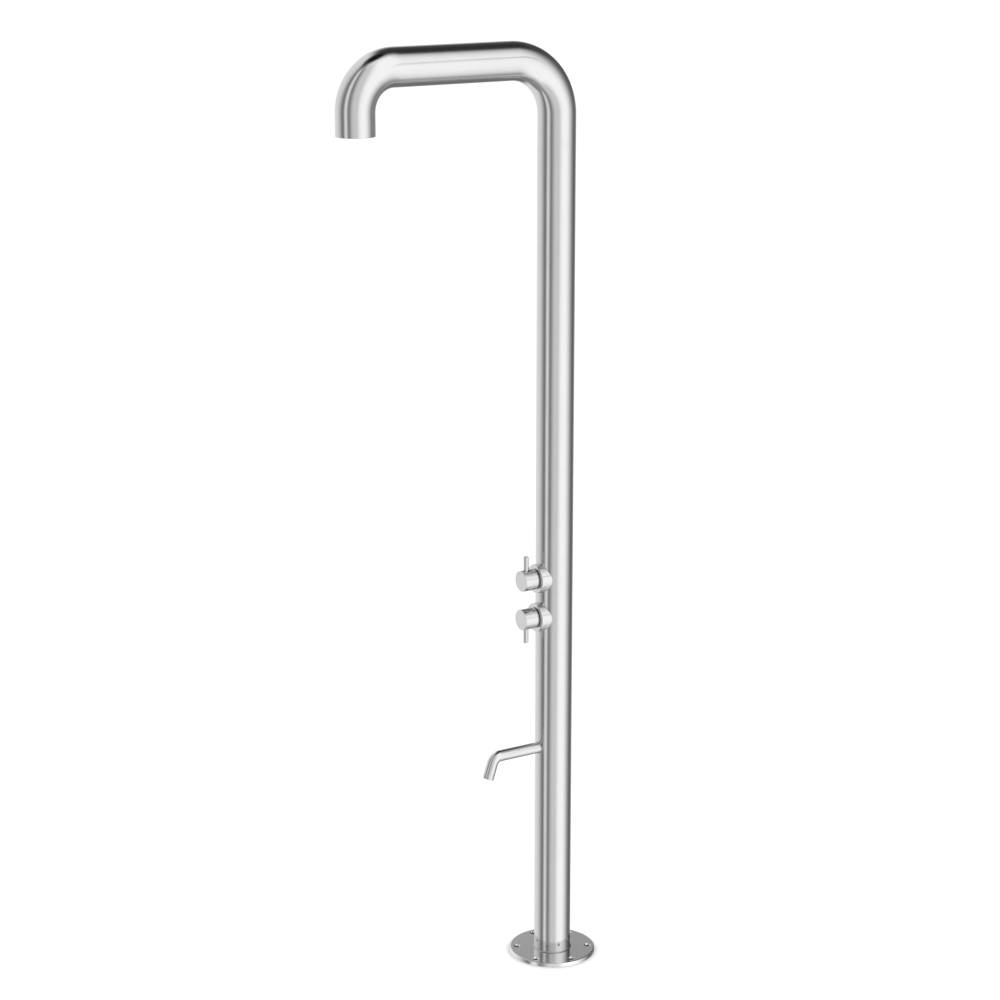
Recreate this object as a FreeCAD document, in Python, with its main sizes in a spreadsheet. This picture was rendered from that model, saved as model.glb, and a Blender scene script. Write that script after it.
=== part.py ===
import FreeCAD, Part
import math
import os
import re

import Sketcher
from FreeCAD import Placement, Rotation, Vector

# Outdoor shower post: a bent stainless tube on a round floor plate, with two quarter-turn valves.
# The upper valve feeds the spray head in the outlet of the arm, the lower one feeds the foot spout.
# Millimetres. +Z is up, the arm, knobs and spout point to -Y, and the origin is the middle of the
# plate's underside. Along a valve, distances run outwards from the post's axis.

SIZES = {
    # post, arm and outlet, one bent tube
    "tube_diameter": 88.9,
    "tube_wall": 2.0,
    "arm_height": 2192.0,
    "arm_reach": 522.0,
    "main_bend_radius": 125.0,
    "outlet_bend_radius": 94.0,
    "outlet_drop": 145.0,
    # floor plate
    "plate_diameter": 210.0,
    "plate_thickness": 10.0,
    "plate_edge_round": 1.5,
    "bolt_circle_diameter": 175.0,
    "bolt_hole_diameter": 9.0,
    "bolt_head_diameter": 17.0,
    "bolt_count": 6,
    # knobs, collars and pin levers
    "lower_knob_height": 874.0,
    "knob_spacing": 96.0,
    "collar_diameter": 70.0,
    "collar_height": 11.0,
    "collar_edge_round": 2.5,
    "collar_web": 4.0,
    "knob_gap": 1.5,
    "knob_diameter": 50.0,
    "knob_length": 37.0,
    "knob_edge_round": 0.8,
    "knob_cavity_depth": 12.0,
    "lever_diameter": 12.0,
    "lever_reach": 34.0,
    "lever_setback": 14.5,
    "lever_end_round": 1.2,
    "lever_seat_depth": 3.0,
    "lever_stub_diameter": 6.0,
    # valve bodies
    "neck_diameter": 30.0,
    "neck_proud": 1.0,
    "clamp_nut_flats": 36.0,
    "clamp_nut_thickness": 5.0,
    "valve_barrel_diameter": 42.0,
    "valve_back_wall": 4.0,
    "gasket_thickness": 2.0,
    "supply_line_offset": 15.0,
    "outlet_line_offset": 14.0,
    "waterway_diameter": 11.0,
    # quarter-turn cartridges
    "cartridge_diameter": 23.8,
    "cartridge_depth": 50.0,
    "cartridge_wall": 2.2,
    "cartridge_hex_flats": 26.0,
    "cartridge_hex_height": 3.0,
    "window_width": 9.0,
    "window_length": 7.0,
    "seal_thickness": 2.0,
    "disc_thickness": 3.0,
    "disc_port_diameter": 5.4,
    "disc_port_offset": 5.0,
    "spindle_diameter": 11.0,
    "spindle_base_thickness": 3.0,
    "spindle_tip_diameter": 8.0,
    "spindle_step": 4.0,
    "spindle_grip": 14.0,
    "stem_seal_section": 1.7,
    "stem_seal_place": 28.0,
    "stem_seal_pitch": 6.0,
    "body_seal_section": 1.8,
    "body_seal_setback": 10.0,
    "retaining_ring_thickness": 1.0,
    "retaining_ring_width": 3.0,
    "retaining_groove_depth": 0.7,
    "retaining_ring_gap_angle": 60.0,
    # pipes, hoses and their compression joints
    "pipe_diameter": 15.0,
    "pipe_wall": 1.0,
    "hose_wall": 2.5,
    "supply_bend_radius": 600.0,
    "supply_shift_start": 330.0,
    "supply_shift_length": 120.0,
    "port_boss_diameter": 22.0,
    "port_thread_diameter": 20.0,
    "port_shoulder": 23.0,
    "port_thread_length": 7.0,
    "socket_depth": 9.0,
    "joint_nut_flats": 24.0,
    "joint_nut_length": 12.0,
    "joint_nut_wall": 2.5,
    "joint_nut_stand_off": 1.0,
    "hose_straight": 1.0,
    "spacer_thickness": 20.0,
    "spacer_count": 3,
    "supply_spacer_height": 200.0,
    # supply inlet in the floor plate
    "inlet_recess": 0.6,
    "inlet_thread_bore": 19.0,
    "inlet_thread_depth": 14.0,
    "inlet_body_diameter": 31.4,
    "inlet_shoulder_diameter": 44.0,
    "inlet_shoulder_thickness": 4.0,
    "inlet_boss_diameter": 26.0,
    "inlet_port_height": 45.0,
    "inlet_nut_flats": 40.0,
    "inlet_nut_recess": 5.0,
    "filter_diameter": 17.4,
    "filter_thickness": 2.0,
    "filter_mesh_thickness": 0.6,
    "filter_hole_diameter": 2.4,
    "filter_hole_pitch": 4.3,
    "check_valve_diameter": 13.8,
    "check_valve_length": 15.0,
    "check_valve_bore": 8.0,
    # foot spout
    "spout_height": 542.0,
    "spout_diameter": 26.9,
    "spout_wall": 2.0,
    "spout_reach": 168.0,
    "spout_angle": 71.0,
    "spout_bend_radius": 21.5,
    "spout_drop": 55.5,
    "spout_tail_diameter": 20.0,
    "spout_tail_bore": 14.0,
    "spout_root": 6.0,
    "spout_nut_flats": 30.0,
    "spout_nut_thickness": 5.0,
    "spout_thread_grip": 9.0,
    "elbow_boss_diameter": 26.0,
    "elbow_body_diameter": 24.0,
    "elbow_height": 22.0,
    "aerator_recess": 0.8,
    "aerator_length": 8.0,
    "aerator_web": 2.0,
    "aerator_wall": 1.5,
    "aerator_hole_diameter": 2.0,
    "aerator_hole_pitch": 3.4,
    # spray head
    "spray_recess": 2.0,
    "spray_plate_thickness": 3.0,
    "mat_thickness": 1.5,
    "head_height": 19.0,
    "head_roof": 6.0,
    "head_wall": 8.3,
    "head_boss_height": 12.0,
    "head_seal_section": 2.4,
    "head_seal_height": 13.0,
    "nozzle_ring_pitch": 9.0,
    "nozzle_ring_count": 3,
    "nozzle_diameter": 3.4,
    "nozzle_bore": 1.2,
    "nozzle_recess": 0.8,
    "plate_screw_diameter": 3.0,
    "plate_screw_head": 5.6,
    "plate_screw_length": 11.0,
    "plate_screw_count": 3,
    "set_screw_diameter": 4.0,
    "set_screw_length": 6.0,
    "set_screw_height": 12.0,
    "set_screw_sink": 0.3,
    # clearances, each on the radius or between two faces, and how far a cut runs past its piece
    "pass_clearance": 0.3,
    "insert_clearance": 0.1,
    "running_clearance": 0.05,
    "end_play": 0.3,
    "nut_clearance": 2.0,
    "cut_overrun": 1.0,
}

# Sizes that follow from the ones above, each written once in terms of them.
DERIVED = {
    "tube_radius": "tube_diameter / 2",
    "bore_radius": "tube_radius - tube_wall",
    "outlet_height": "arm_height - outlet_drop",
    "upper_knob_height": "lower_knob_height + knob_spacing",
    "pipe_radius": "pipe_diameter / 2",
    "hose_bore": "pipe_radius - hose_wall",
    "waterway": "waterway_diameter / 2",
    "socket_radius": "pipe_radius + insert_clearance",
    "knob_radius": "knob_diameter / 2",
    "lever_radius": "lever_diameter / 2",
    "neck_radius": "neck_diameter / 2",
    "barrel_radius": "valve_barrel_diameter / 2",
    # levels along a valve, outwards from the post's axis
    "web_front": "tube_radius + collar_web",
    "clamp_nut_front": "web_front + clamp_nut_thickness",
    "neck_front": "clamp_nut_front + neck_proud",
    "collar_front": "tube_radius + collar_height",
    "knob_back": "collar_front + knob_gap",
    "knob_front": "knob_back + knob_length",
    "cavity_floor": "knob_back + knob_cavity_depth",
    "lever_level": "knob_front - lever_setback",
    "seat_level": "neck_front - cartridge_depth",
    "seal_top": "seat_level + seal_thickness",
    "fixed_top": "seal_top + disc_thickness",
    "moving_low": "fixed_top + running_clearance",
    "moving_top": "moving_low + disc_thickness",
    "base_top": "moving_top + spindle_base_thickness",
    "chamber_top": "base_top + end_play",
    "hex_front": "neck_front + cartridge_hex_height",
    "ring_low": "hex_front + end_play",
    "ring_top": "ring_low + retaining_ring_thickness",
    "barrel_front": "sqrt(bore_radius ^ 2 - barrel_radius ^ 2) - gasket_thickness",
    "barrel_back": "0 - supply_line_offset - waterway - valve_back_wall",
    "stub_end": "spindle_tip_diameter / 2 + insert_clearance",
    # cartridge radii
    "cartridge_radius": "cartridge_diameter / 2",
    "cartridge_bore": "cartridge_radius + insert_clearance",
    "chamber_radius": "cartridge_radius - cartridge_wall",
    "fixed_disc_radius": "chamber_radius - insert_clearance",
    "moving_disc_radius": "chamber_radius - pass_clearance",
    "spindle_radius": "spindle_diameter / 2",
    "spindle_bore": "spindle_radius + running_clearance",
    "stem_seal_radius": "stem_seal_section / 2",
    "stem_seal_centre": "spindle_bore + insert_clearance + stem_seal_radius",
    "stem_groove_radius": "stem_seal_centre + stem_seal_radius + running_clearance",
    "stem_groove_half": "stem_seal_radius + insert_clearance",
    "body_seal_radius": "body_seal_section / 2",
    "body_seal_centre": "cartridge_bore - running_clearance - body_seal_radius",
    "body_groove_radius": "body_seal_centre - body_seal_radius - running_clearance",
    "body_groove_half": "body_seal_radius + insert_clearance",
    "body_seal_level": "neck_front - body_seal_setback",
    "ring_groove_radius": "spindle_radius - retaining_groove_depth",
    # compression joints, from the end of a port
    "port_end": "port_shoulder + port_thread_length",
    "port_thread_radius": "port_thread_diameter / 2",
    "joint_nut_base": "joint_nut_stand_off - port_thread_length",
    "joint_nut_end": "joint_nut_base + joint_nut_length",
    "joint_nut_cavity": "joint_nut_length - joint_nut_wall",
    "olive_length": "joint_nut_end - joint_nut_wall",
    # spout and elbow
    "spout_radius": "spout_diameter / 2",
    "spout_bore": "spout_radius - spout_wall",
    "spout_tail_radius": "spout_tail_diameter / 2",
    "spout_nut_front": "sqrt(bore_radius ^ 2 - spout_nut_flats ^ 2 / 3)",
    "spout_nut_back": "spout_nut_front - spout_nut_thickness",
    "spout_tail_end": "spout_nut_back - spout_thread_grip",
    "spout_tip_reach": "spout_reach + spout_drop * cos(spout_angle * 1 deg)",
    "spout_tip_height": "spout_height - spout_drop * sin(spout_angle * 1 deg)",
    "elbow_reach": "spout_nut_back - outlet_line_offset",
    "elbow_port_height": "elbow_height + port_thread_length",
    # inlet levels, from the floor
    "inlet_thread_top": "inlet_recess + inlet_thread_depth",
    "filter_top": "inlet_thread_top + filter_thickness + insert_clearance",
    "check_top": "filter_top + check_valve_length + end_play",
    "inlet_shoulder_top": "plate_thickness + inlet_shoulder_thickness",
    "inlet_nut_radius": "inlet_nut_flats / sqrt(3)",
    # spray head levels, up from the outlet's end
    "spray_top": "spray_recess + spray_plate_thickness",
    "mat_top": "spray_top + mat_thickness",
    "head_top": "spray_top + head_height",
    "head_thread_low": "head_top + head_boss_height",
    "head_port_end": "head_thread_low + port_thread_length",
    "head_radius": "bore_radius - insert_clearance",
    "head_cavity_radius": "head_radius - head_wall",
    "plate_screw_circle": "head_radius - head_wall / 2",
    "head_seal_radius": "head_seal_section / 2",
    "head_seal_centre": "bore_radius - running_clearance - head_seal_radius",
    "head_groove_radius": "head_seal_centre - head_seal_radius - insert_clearance",
    "head_groove_half": "head_seal_radius + insert_clearance",
    "head_seal_level": "spray_top + head_seal_height",
    "riser_outlet_radius": "outlet_drop - head_port_end - joint_nut_end - hose_straight",
}

UP = Vector(0, 0, 1)
ALONG_X = Vector(1, 0, 0)
WORD = re.compile(r"[a-z_]+[a-z]")

doc = FreeCAD.newDocument("shower_post")
sheet = doc.addObject("Spreadsheet::Sheet", "Sizes")
for row, (name, size) in enumerate(SIZES.items(), 1):
    sheet.set(f"A{row}", name)
    sheet.set(f"B{row}", str(size))
    sheet.setAlias(f"B{row}", name)
doc.recompute()

parts = []


# ---------------------------------------------------------------- sizes and sketches


def spelled(text):
    """Writes an expression out in the sheet's aliases, with each derived size in brackets."""

    def swap(found):
        word = found.group(0)
        if word in DERIVED:
            return f"({spelled(DERIVED[word])})"
        return f"Sizes.{word}" if word in SIZES else word

    return WORD.sub(swap, str(text))


def value(text):
    """Works an expression out as a plain number."""
    return float(sheet.evalExpression(spelled(text)))


def bind(thing, name, text):
    """Binds one property of an object to an expression on the sheet."""
    thing.setExpression(name, spelled(text))


def part(thing, label):
    """Names a finished sub-part, and lists it for export."""
    thing.Label = label
    parts.append(thing)
    return thing


def new_body(label):
    """Starts a sub-part that is built up from sketches."""
    return part(doc.addObject("PartDesign::Body", label), label)


def new_sketch(body, role, lift="0"):
    """Adds a sketch on one of the body's own origin planes, lifted along the plane's normal."""
    sketch = body.newObject("Sketcher::SketchObject", f"{body.Name}_sketch")
    plane = next(entry for entry in body.Origin.OriginFeatures if entry.Role == role)
    sketch.AttachmentSupport = [(plane, "")]
    sketch.MapMode = "FlatFace"
    bind(sketch, "AttachmentOffset.Base.z", lift)
    return sketch


def point_rules(line, end, place):
    """Lists the two rules that fix a point of a sketch, each with its expression."""
    kinds = ("DistanceX", "DistanceY")
    return [
        (Sketcher.Constraint(kind, -1, 1, line, end, value(text)), text)
        for kind, text in zip(kinds, place)
    ]


def pin_point(sketch, line, end, place):
    """Fixes a point of a sketch at a place given by two expressions."""
    for rule, text in point_rules(line, end, place):
        bind(sketch, f"Constraints[{sketch.addConstraint(rule)}]", text)


def add_polygon(sketch, corners):
    """Draws a closed outline through corners, each a pair of expressions."""
    spots = [Vector(value(x), value(y), 0) for x, y in corners]
    lines = [
        sketch.addGeometry(Part.LineSegment(a, b), False)
        for a, b in zip(spots, spots[1:] + spots[:1])
    ]
    for line, after in zip(lines, lines[1:] + lines[:1]):
        sketch.addConstraint(Sketcher.Constraint("Coincident", line, 2, after, 1))
    for line, corner in zip(lines, corners):
        pin_point(sketch, line, 1, corner)


def add_circle(sketch, radius, centre=("0", "0")):
    """Draws a circle with its centre at a place given by two expressions."""
    x, y = (value(text) for text in centre)
    ring = sketch.addGeometry(Part.Circle(Vector(x, y, 0), UP, value(radius)), False)
    pin_point(sketch, ring, 3, centre)
    rule = sketch.addConstraint(Sketcher.Constraint("Radius", ring, value(radius)))
    bind(sketch, f"Constraints[{rule}]", radius)


def add_path(sketch, corners, radii):
    """Draws an open run of straight lines through corners, joined by tangent arcs of the radii."""
    spots = [Vector(value(x), value(y), 0) for x, y in corners]
    ways = [(end - start).normalize() for start, end in zip(spots, spots[1:])]
    turns = [before.getAngle(after) for before, after in zip(ways, ways[1:])]
    trims = [0.0, *(value(r) * math.tan(turn / 2) for r, turn in zip(radii, turns)), 0.0]
    runs = [
        Part.LineSegment(start + way * first, end - way * last)
        for start, end, way, first, last in zip(spots, spots[1:], ways, trims, trims[1:])
    ]
    lines = [sketch.addGeometry(run, False) for run in runs]
    rules = []
    for number, radius in enumerate(radii):
        start, end, spot = runs[number].EndPoint, runs[number + 1].StartPoint, spots[number + 1]
        inwards = (start + end - spot * 2).normalize()
        reach = value(radius) / math.cos(turns[number] / 2)
        nearest = spot + inwards * (reach - value(radius))
        leftwards = ways[number].cross(ways[number + 1]).z > 0
        arc_ends = (start, nearest, end) if leftwards else (end, nearest, start)
        arc = sketch.addGeometry(Part.Arc(*arc_ends), False)
        mark = sketch.addGeometry(Part.Point(spot), True)
        enter, leave = (1, 2) if leftwards else (2, 1)
        line, after = lines[number], lines[number + 1]
        rules += [
            (Sketcher.Constraint("Tangent", line, 2, arc, enter), None),
            (Sketcher.Constraint("Tangent", arc, leave, after, 1), None),
            (Sketcher.Constraint("Radius", arc, value(radius)), radius),
            *point_rules(mark, 1, corners[number + 1]),
            (Sketcher.Constraint("PointOnObject", mark, 1, line), None),
            (Sketcher.Constraint("PointOnObject", mark, 1, after), None),
        ]
    rules += point_rules(lines[0], 1, corners[0]) + point_rules(lines[-1], 2, corners[-1])
    first_rule = len(sketch.Constraints)
    sketch.addConstraint([rule for rule, text in rules])
    for number, (rule, text) in enumerate(rules, first_rule):
        if text is not None:
            bind(sketch, f"Constraints[{number}]", text)


# ---------------------------------------------------------------- features


def changed(body, feature, sign):
    """Recomputes, and stops if a feature didn't add (sign 1) or remove (sign -1) material."""
    before = feature.BaseFeature.Shape.Volume if feature.BaseFeature else 0.0
    doc.recompute()
    if sign * (feature.Shape.Volume - before) <= 0:
        raise RuntimeError(f"{body.Label}: {feature.Name} changed nothing")
    return feature


def revolve(body, corners, angle="360", cut=False):
    """Turns an outline of (radius, level) corners about the body's Z axis."""
    sketch = new_sketch(body, "XZ_Plane")
    add_polygon(sketch, corners)
    kind = "Groove" if cut else "Revolution"
    feature = body.newObject(f"PartDesign::{kind}", f"{body.Name}_turned")
    feature.Profile = sketch
    feature.ReferenceAxis = (sketch, ["V_Axis"])
    bind(feature, "Angle", angle)
    return changed(body, feature, -1 if cut else 1)


def pad(body, sketch, length, forwards=True):
    """Adds material from a sketch, along its normal or against it."""
    feature = body.newObject("PartDesign::Pad", f"{body.Name}_pad")
    feature.Profile = sketch
    feature.Reversed = not forwards
    bind(feature, "Length", length)
    return changed(body, feature, 1)


def pocket(body, sketch, length=None, forwards=True):
    """Cuts material away from a sketch, along its normal or against it, or all the way."""
    feature = body.newObject("PartDesign::Pocket", f"{body.Name}_pocket")
    feature.Profile = sketch
    feature.Reversed = forwards
    if length is None:
        feature.Type = "ThroughAll"
    else:
        bind(feature, "Length", length)
    return changed(body, feature, -1)


def round_pad(body, role, lift, radius, length, centre=("0", "0"), forwards=True):
    """Adds a round boss that stands on a lifted origin plane."""
    sketch = new_sketch(body, role, lift)
    add_circle(sketch, radius, centre)
    return pad(body, sketch, length, forwards)


def round_cut(body, role, lift, radius, length=None, centre=("0", "0"), forwards=True):
    """Cuts a round hole from a lifted origin plane."""
    sketch = new_sketch(body, role, lift)
    add_circle(sketch, radius, centre)
    return pocket(body, sketch, length, forwards)


def around(body, feature, count):
    """Repeats a feature evenly about the body's Z axis."""
    pattern = body.newObject("PartDesign::PolarPattern", f"{body.Name}_pattern")
    pattern.Originals = [feature]
    axis = next(entry for entry in body.Origin.OriginFeatures if entry.Role == "Z_Axis")
    pattern.Axis = (axis, [""])
    pattern.Angle = 360
    bind(pattern, "Occurrences", count)
    body.Tip = pattern
    doc.recompute()
    return pattern


def sweep(body, radius, corners, radii, upright=True, cut=False):
    """Carries a circle along a path in the middle plane. The path starts upwards or towards -Y."""
    spine = new_sketch(body, "YZ_Plane")
    add_path(spine, corners, radii)
    across, up = corners[0]
    if upright:
        profile = new_sketch(body, "XY_Plane", up)
        add_circle(profile, radius, ("0", across))
    else:
        profile = new_sketch(body, "XZ_Plane", f"0 - ({across})")
        add_circle(profile, radius, ("0", up))
    kind = "SubtractivePipe" if cut else "AdditivePipe"
    feature = body.newObject(f"PartDesign::{kind}", f"{body.Name}_sweep")
    feature.Profile = profile
    feature.Spine = (spine, [f"Edge{number + 1}" for number in range(2 * len(radii) + 1)])
    return changed(body, feature, -1 if cut else 1)


def round_edges(body, feature, radius, level, size):
    """Rounds each circular edge of the given radius at the given level."""
    names = [
        f"Edge{number}"
        for number, edge in enumerate(feature.Shape.Edges, 1)
        if isinstance(edge.Curve, Part.Circle)
        and math.isclose(edge.Curve.Radius, value(radius), abs_tol=1e-4)
        and math.isclose(edge.Curve.Center.z, value(level), abs_tol=1e-4)
    ]
    fillet = body.newObject("PartDesign::Fillet", f"{body.Name}_round")
    fillet.Base = (feature, names)
    bind(fillet, "Radius", size)
    doc.recompute()
    return fillet


def cylinder(radius, height, place=("0", "0", "0"), turn=0):
    """Makes a plain cylinder at a place of three expressions, turned about X by some degrees."""
    rod = doc.addObject("Part::Cylinder", "rod")
    bind(rod, "Radius", radius)
    bind(rod, "Height", height)
    return put(rod, place, turn)


def put(thing, place, turn=0):
    """Puts an object at a place of three expressions, turned about X by some degrees."""
    thing.Placement = Placement(Vector(), Rotation(ALONG_X, turn))
    for axis, text in zip("xyz", place):
        bind(thing, f"Placement.Base.{axis}", text)
    return thing


def minus(base, *tools):
    """Cuts tools from a base."""
    for tool in tools:
        cut = doc.addObject("Part::Cut", "cut")
        cut.Base = base
        cut.Tool = tool
        base = cut
    return base


def hexagon(flats, height):
    """Makes a six-sided block of the given width across its flats."""
    block = doc.addObject("Part::Prism", "hexagon")
    block.Polygon = 6
    bind(block, "Circumradius", f"({flats}) / sqrt(3)")
    bind(block, "Height", height)
    return block


def hex_nut(flats, thickness, bore):
    """Makes a plain hexagon nut that stands on the ground."""
    return minus(hexagon(flats, thickness), cylinder(bore, thickness))


def group(label, pieces):
    """Gathers identical pieces in one node."""
    gathered = doc.addObject("Part::Compound", label)
    gathered.Links = pieces
    return part(gathered, label)


def ring(label, outer, inner, low, high):
    """Makes a plain ring about Z between two levels."""
    body = new_body(label)
    revolve(body, [(inner, low), (outer, low), (outer, high), (inner, high)])
    return body


def on_valve(piece, side):
    """Puts a piece on a valve's axis. The lower valve is the upper one turned half about that axis."""
    spin = 0 if side == "upper" else 180
    turned = Rotation(ALONG_X, 90) * Rotation(UP, spin)
    piece.Placement = Placement(Vector(), turned)
    bind(piece, "Placement.Base.z", f"{side}_knob_height")
    return piece


# ---------------------------------------------------------------- post and floor plate


def make_post_tube():
    """The bent tube, with holes for the valve necks, the spout's tail and the head's set screw."""
    body = new_body("post_tube")
    corners = [
        ("0", "plate_thickness"),
        ("0", "arm_height"),
        ("0 - arm_reach", "arm_height"),
        ("0 - arm_reach", "outlet_height"),
    ]
    bends = ["main_bend_radius", "outlet_bend_radius"]
    sweep(body, "tube_radius", corners, bends)
    sweep(body, "bore_radius", corners, bends, cut=True)
    for side in ("upper", "lower"):
        neck_hole = "neck_radius + pass_clearance"
        round_cut(body, "XZ_Plane", "0", neck_hole, centre=("0", f"{side}_knob_height"))
    tail_hole = "spout_tail_radius + pass_clearance"
    round_cut(body, "XZ_Plane", "0", tail_hole, "tube_diameter", ("0", "spout_height"))
    screw_hole = "set_screw_diameter / 2 + insert_clearance"
    screw_place = ("0", "outlet_height + set_screw_height")
    depth = "tube_radius + cut_overrun"
    round_cut(body, "XZ_Plane", "arm_reach", screw_hole, depth, screw_place, forwards=False)


def make_base_flange():
    """The round plate, with countersunk bolt holes and a stepped hole for the supply inlet."""
    body = new_body("base_flange")
    disc = round_pad(body, "XY_Plane", "0", "plate_diameter / 2", "plate_thickness")
    round_edges(body, disc, "plate_diameter / 2", "plate_thickness", "plate_edge_round")
    round_cut(body, "XY_Plane", "0", "inlet_body_diameter / 2 + pass_clearance")
    recess_radius = "inlet_nut_radius + nut_clearance"
    round_cut(body, "XY_Plane", "0", recess_radius, "inlet_nut_recess")
    sketch = new_sketch(body, "XY_Plane", "plate_thickness")
    add_circle(sketch, "bolt_hole_diameter / 2", ("bolt_circle_diameter / 2", "0"))
    hole = body.newObject("PartDesign::Hole", "bolt_hole")
    hole.Profile = sketch
    doc.recompute()
    hole.DepthType = "ThroughAll"
    bind(hole, "Diameter", "bolt_hole_diameter")
    hole.HoleCutType = "Countersink"
    hole.HoleCutCustomValues = True
    bind(hole, "HoleCutDiameter", "bolt_head_diameter")
    hole.HoleCutCountersinkAngle = 90
    changed(body, hole, -1)
    around(body, hole, "bolt_count")


# ---------------------------------------------------------------- valves


def make_collar(side):
    """The round collar between a knob and the post: cut to the tube behind, with a web inside."""
    body = new_body(f"{side}_collar")
    disc = round_pad(body, "XY_Plane", "0", "collar_diameter / 2", "collar_front")
    round_edges(body, disc, "collar_diameter / 2", "collar_front", "collar_edge_round")
    saddle = new_sketch(body, "XZ_Plane", "0 - collar_diameter")
    add_circle(saddle, "tube_radius + insert_clearance")
    pocket(body, saddle)
    round_cut(body, "XY_Plane", "0", "neck_radius + pass_clearance")
    recess = "clamp_nut_flats / sqrt(3) + nut_clearance"
    round_cut(body, "XY_Plane", "web_front", recess)
    on_valve(body, side)


def make_saddle_gasket(side):
    """The rubber ring between the valve's shoulder and the inside of the tube, curved to fit it."""
    body = ring(
        f"{side}_saddle_gasket",
        "barrel_radius",
        "neck_radius + pass_clearance",
        "barrel_front",
        "bore_radius",
    )
    outside = new_sketch(body, "XZ_Plane", "0 - valve_barrel_diameter")
    add_circle(outside, "tube_diameter")
    add_circle(outside, "bore_radius - insert_clearance")
    pocket(body, outside)
    on_valve(body, side)


def add_port(body, line, up, start="waterway"):
    """Adds a threaded port to a valve body, across its axis at the given level."""
    sign = "" if up else "0 - "
    root = f"{sign}({start})"
    centre = ("0", line)
    for radius, end in (("port_boss_diameter / 2", "port_shoulder"), ("port_thread_radius", "port_end")):
        length = f"({end}) - ({start})"
        lift = f"0 - ({root})"
        round_pad(body, "XZ_Plane", lift, radius, length, centre, forwards=not up)


def bore_port(body, line, up):
    """Drills the waterway and the pipe's socket into a port."""
    centre = ("0", line)
    round_cut(body, "XZ_Plane", "0", "waterway", centre=centre, forwards=not up)
    lift = "0 - port_end" if up else "port_end"
    round_cut(body, "XZ_Plane", lift, "socket_radius", "socket_depth", centre, forwards=up)


def make_valve_body(side):
    """The brass body: a barrel with a neck through the post, the cartridge's bore and its ports."""
    body = new_body(f"{side}_valve_body")
    barrel = [
        ("0", "barrel_back"),
        ("barrel_radius", "barrel_back"),
        ("barrel_radius", "barrel_front"),
        ("neck_radius", "barrel_front"),
        ("neck_radius", "neck_front"),
        ("0", "neck_front"),
    ]
    revolve(body, barrel)
    # the lower body passes water on to the upper one, so its supply line runs through
    ports = [("0 - supply_line_offset", False), ("outlet_line_offset", True)]
    if side == "lower":
        ports.append(("0 - supply_line_offset", True))
    for line, up in ports:
        add_port(body, line, up)
    for line, up in ports:
        bore_port(body, line, up)
    round_cut(body, "XY_Plane", "neck_front", "cartridge_bore", "cartridge_depth", forwards=False)
    seat_depth = "neck_front + supply_line_offset"
    round_cut(body, "XY_Plane", "neck_front", "waterway", seat_depth, forwards=False)
    on_valve(body, side)


def make_clamp_nut(side):
    """The nut on the valve's neck that draws the body against the post through the collar."""
    nut = hex_nut("clamp_nut_flats", "clamp_nut_thickness", "neck_radius + insert_clearance")
    part(nut, f"{side}_clamp_nut")
    on_valve(nut, side)
    bind(nut, "Placement.Base.y", "0 - web_front")


def make_cartridge_housing(side):
    """The brass sleeve that holds the discs and guides the spindle, with two side windows."""
    body = new_body(f"{side}_cartridge_housing")
    hexagon_inside = "cartridge_hex_flats / 2"
    groove = ("stem_groove_half", "stem_groove_radius")
    outline = [
        ("chamber_radius", "seal_top"),
        ("cartridge_radius", "seal_top"),
        ("cartridge_radius", "body_seal_level - body_groove_half"),
        ("body_groove_radius", "body_seal_level - body_groove_half"),
        ("body_groove_radius", "body_seal_level + body_groove_half"),
        ("cartridge_radius", "body_seal_level + body_groove_half"),
        ("cartridge_radius", "neck_front"),
        (hexagon_inside, "neck_front"),
        (hexagon_inside, "hex_front"),
        ("spindle_bore", "hex_front"),
    ]
    for level in ("stem_seal_place + stem_seal_pitch", "stem_seal_place"):
        outline += [
            ("spindle_bore", f"{level} + {groove[0]}"),
            (groove[1], f"{level} + {groove[0]}"),
            (groove[1], f"{level} - {groove[0]}"),
            ("spindle_bore", f"{level} - {groove[0]}"),
        ]
    outline += [("spindle_bore", "chamber_top"), ("chamber_radius", "chamber_top")]
    revolve(body, outline)
    window = new_sketch(body, "XZ_Plane", "0 - cartridge_diameter")
    half, low, high = (
        "window_width / 2",
        "outlet_line_offset - window_length / 2",
        "outlet_line_offset + window_length / 2",
    )
    add_polygon(window, [(f"0 - {half}", low), (half, low), (half, high), (f"0 - {half}", high)])
    pocket(body, window)
    hexagon_sketch = new_sketch(body, "XY_Plane", "neck_front")
    add_hexagon(hexagon_sketch, "cartridge_hex_flats")
    add_circle(hexagon_sketch, "spindle_bore")
    pad(body, hexagon_sketch, "cartridge_hex_height")
    on_valve(body, side)


def add_hexagon(sketch, flats):
    """Draws a hexagon of the given width across its flats."""
    corner = f"({flats}) / sqrt(3)"
    turns = [(math.cos(math.radians(60 * n)), math.sin(math.radians(60 * n))) for n in range(6)]
    add_polygon(sketch, [(f"{corner} * {x:.9f}", f"{corner} * {y:.9f}") for x, y in turns])


def make_disc(side, name, radius, low, high, ports_across):
    """A ceramic disc with two ports, set along X or across it."""
    body = ring(f"{side}_{name}", radius, "0", low, high)
    sketch = new_sketch(body, "XY_Plane", low)
    for sign in ("", "0 - "):
        offset = f"{sign}disc_port_offset"
        centre = (offset, "0") if ports_across else ("0", offset)
        add_circle(sketch, "disc_port_diameter / 2", centre)
    pocket(body, sketch, "disc_thickness")
    on_valve(body, side)


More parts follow.
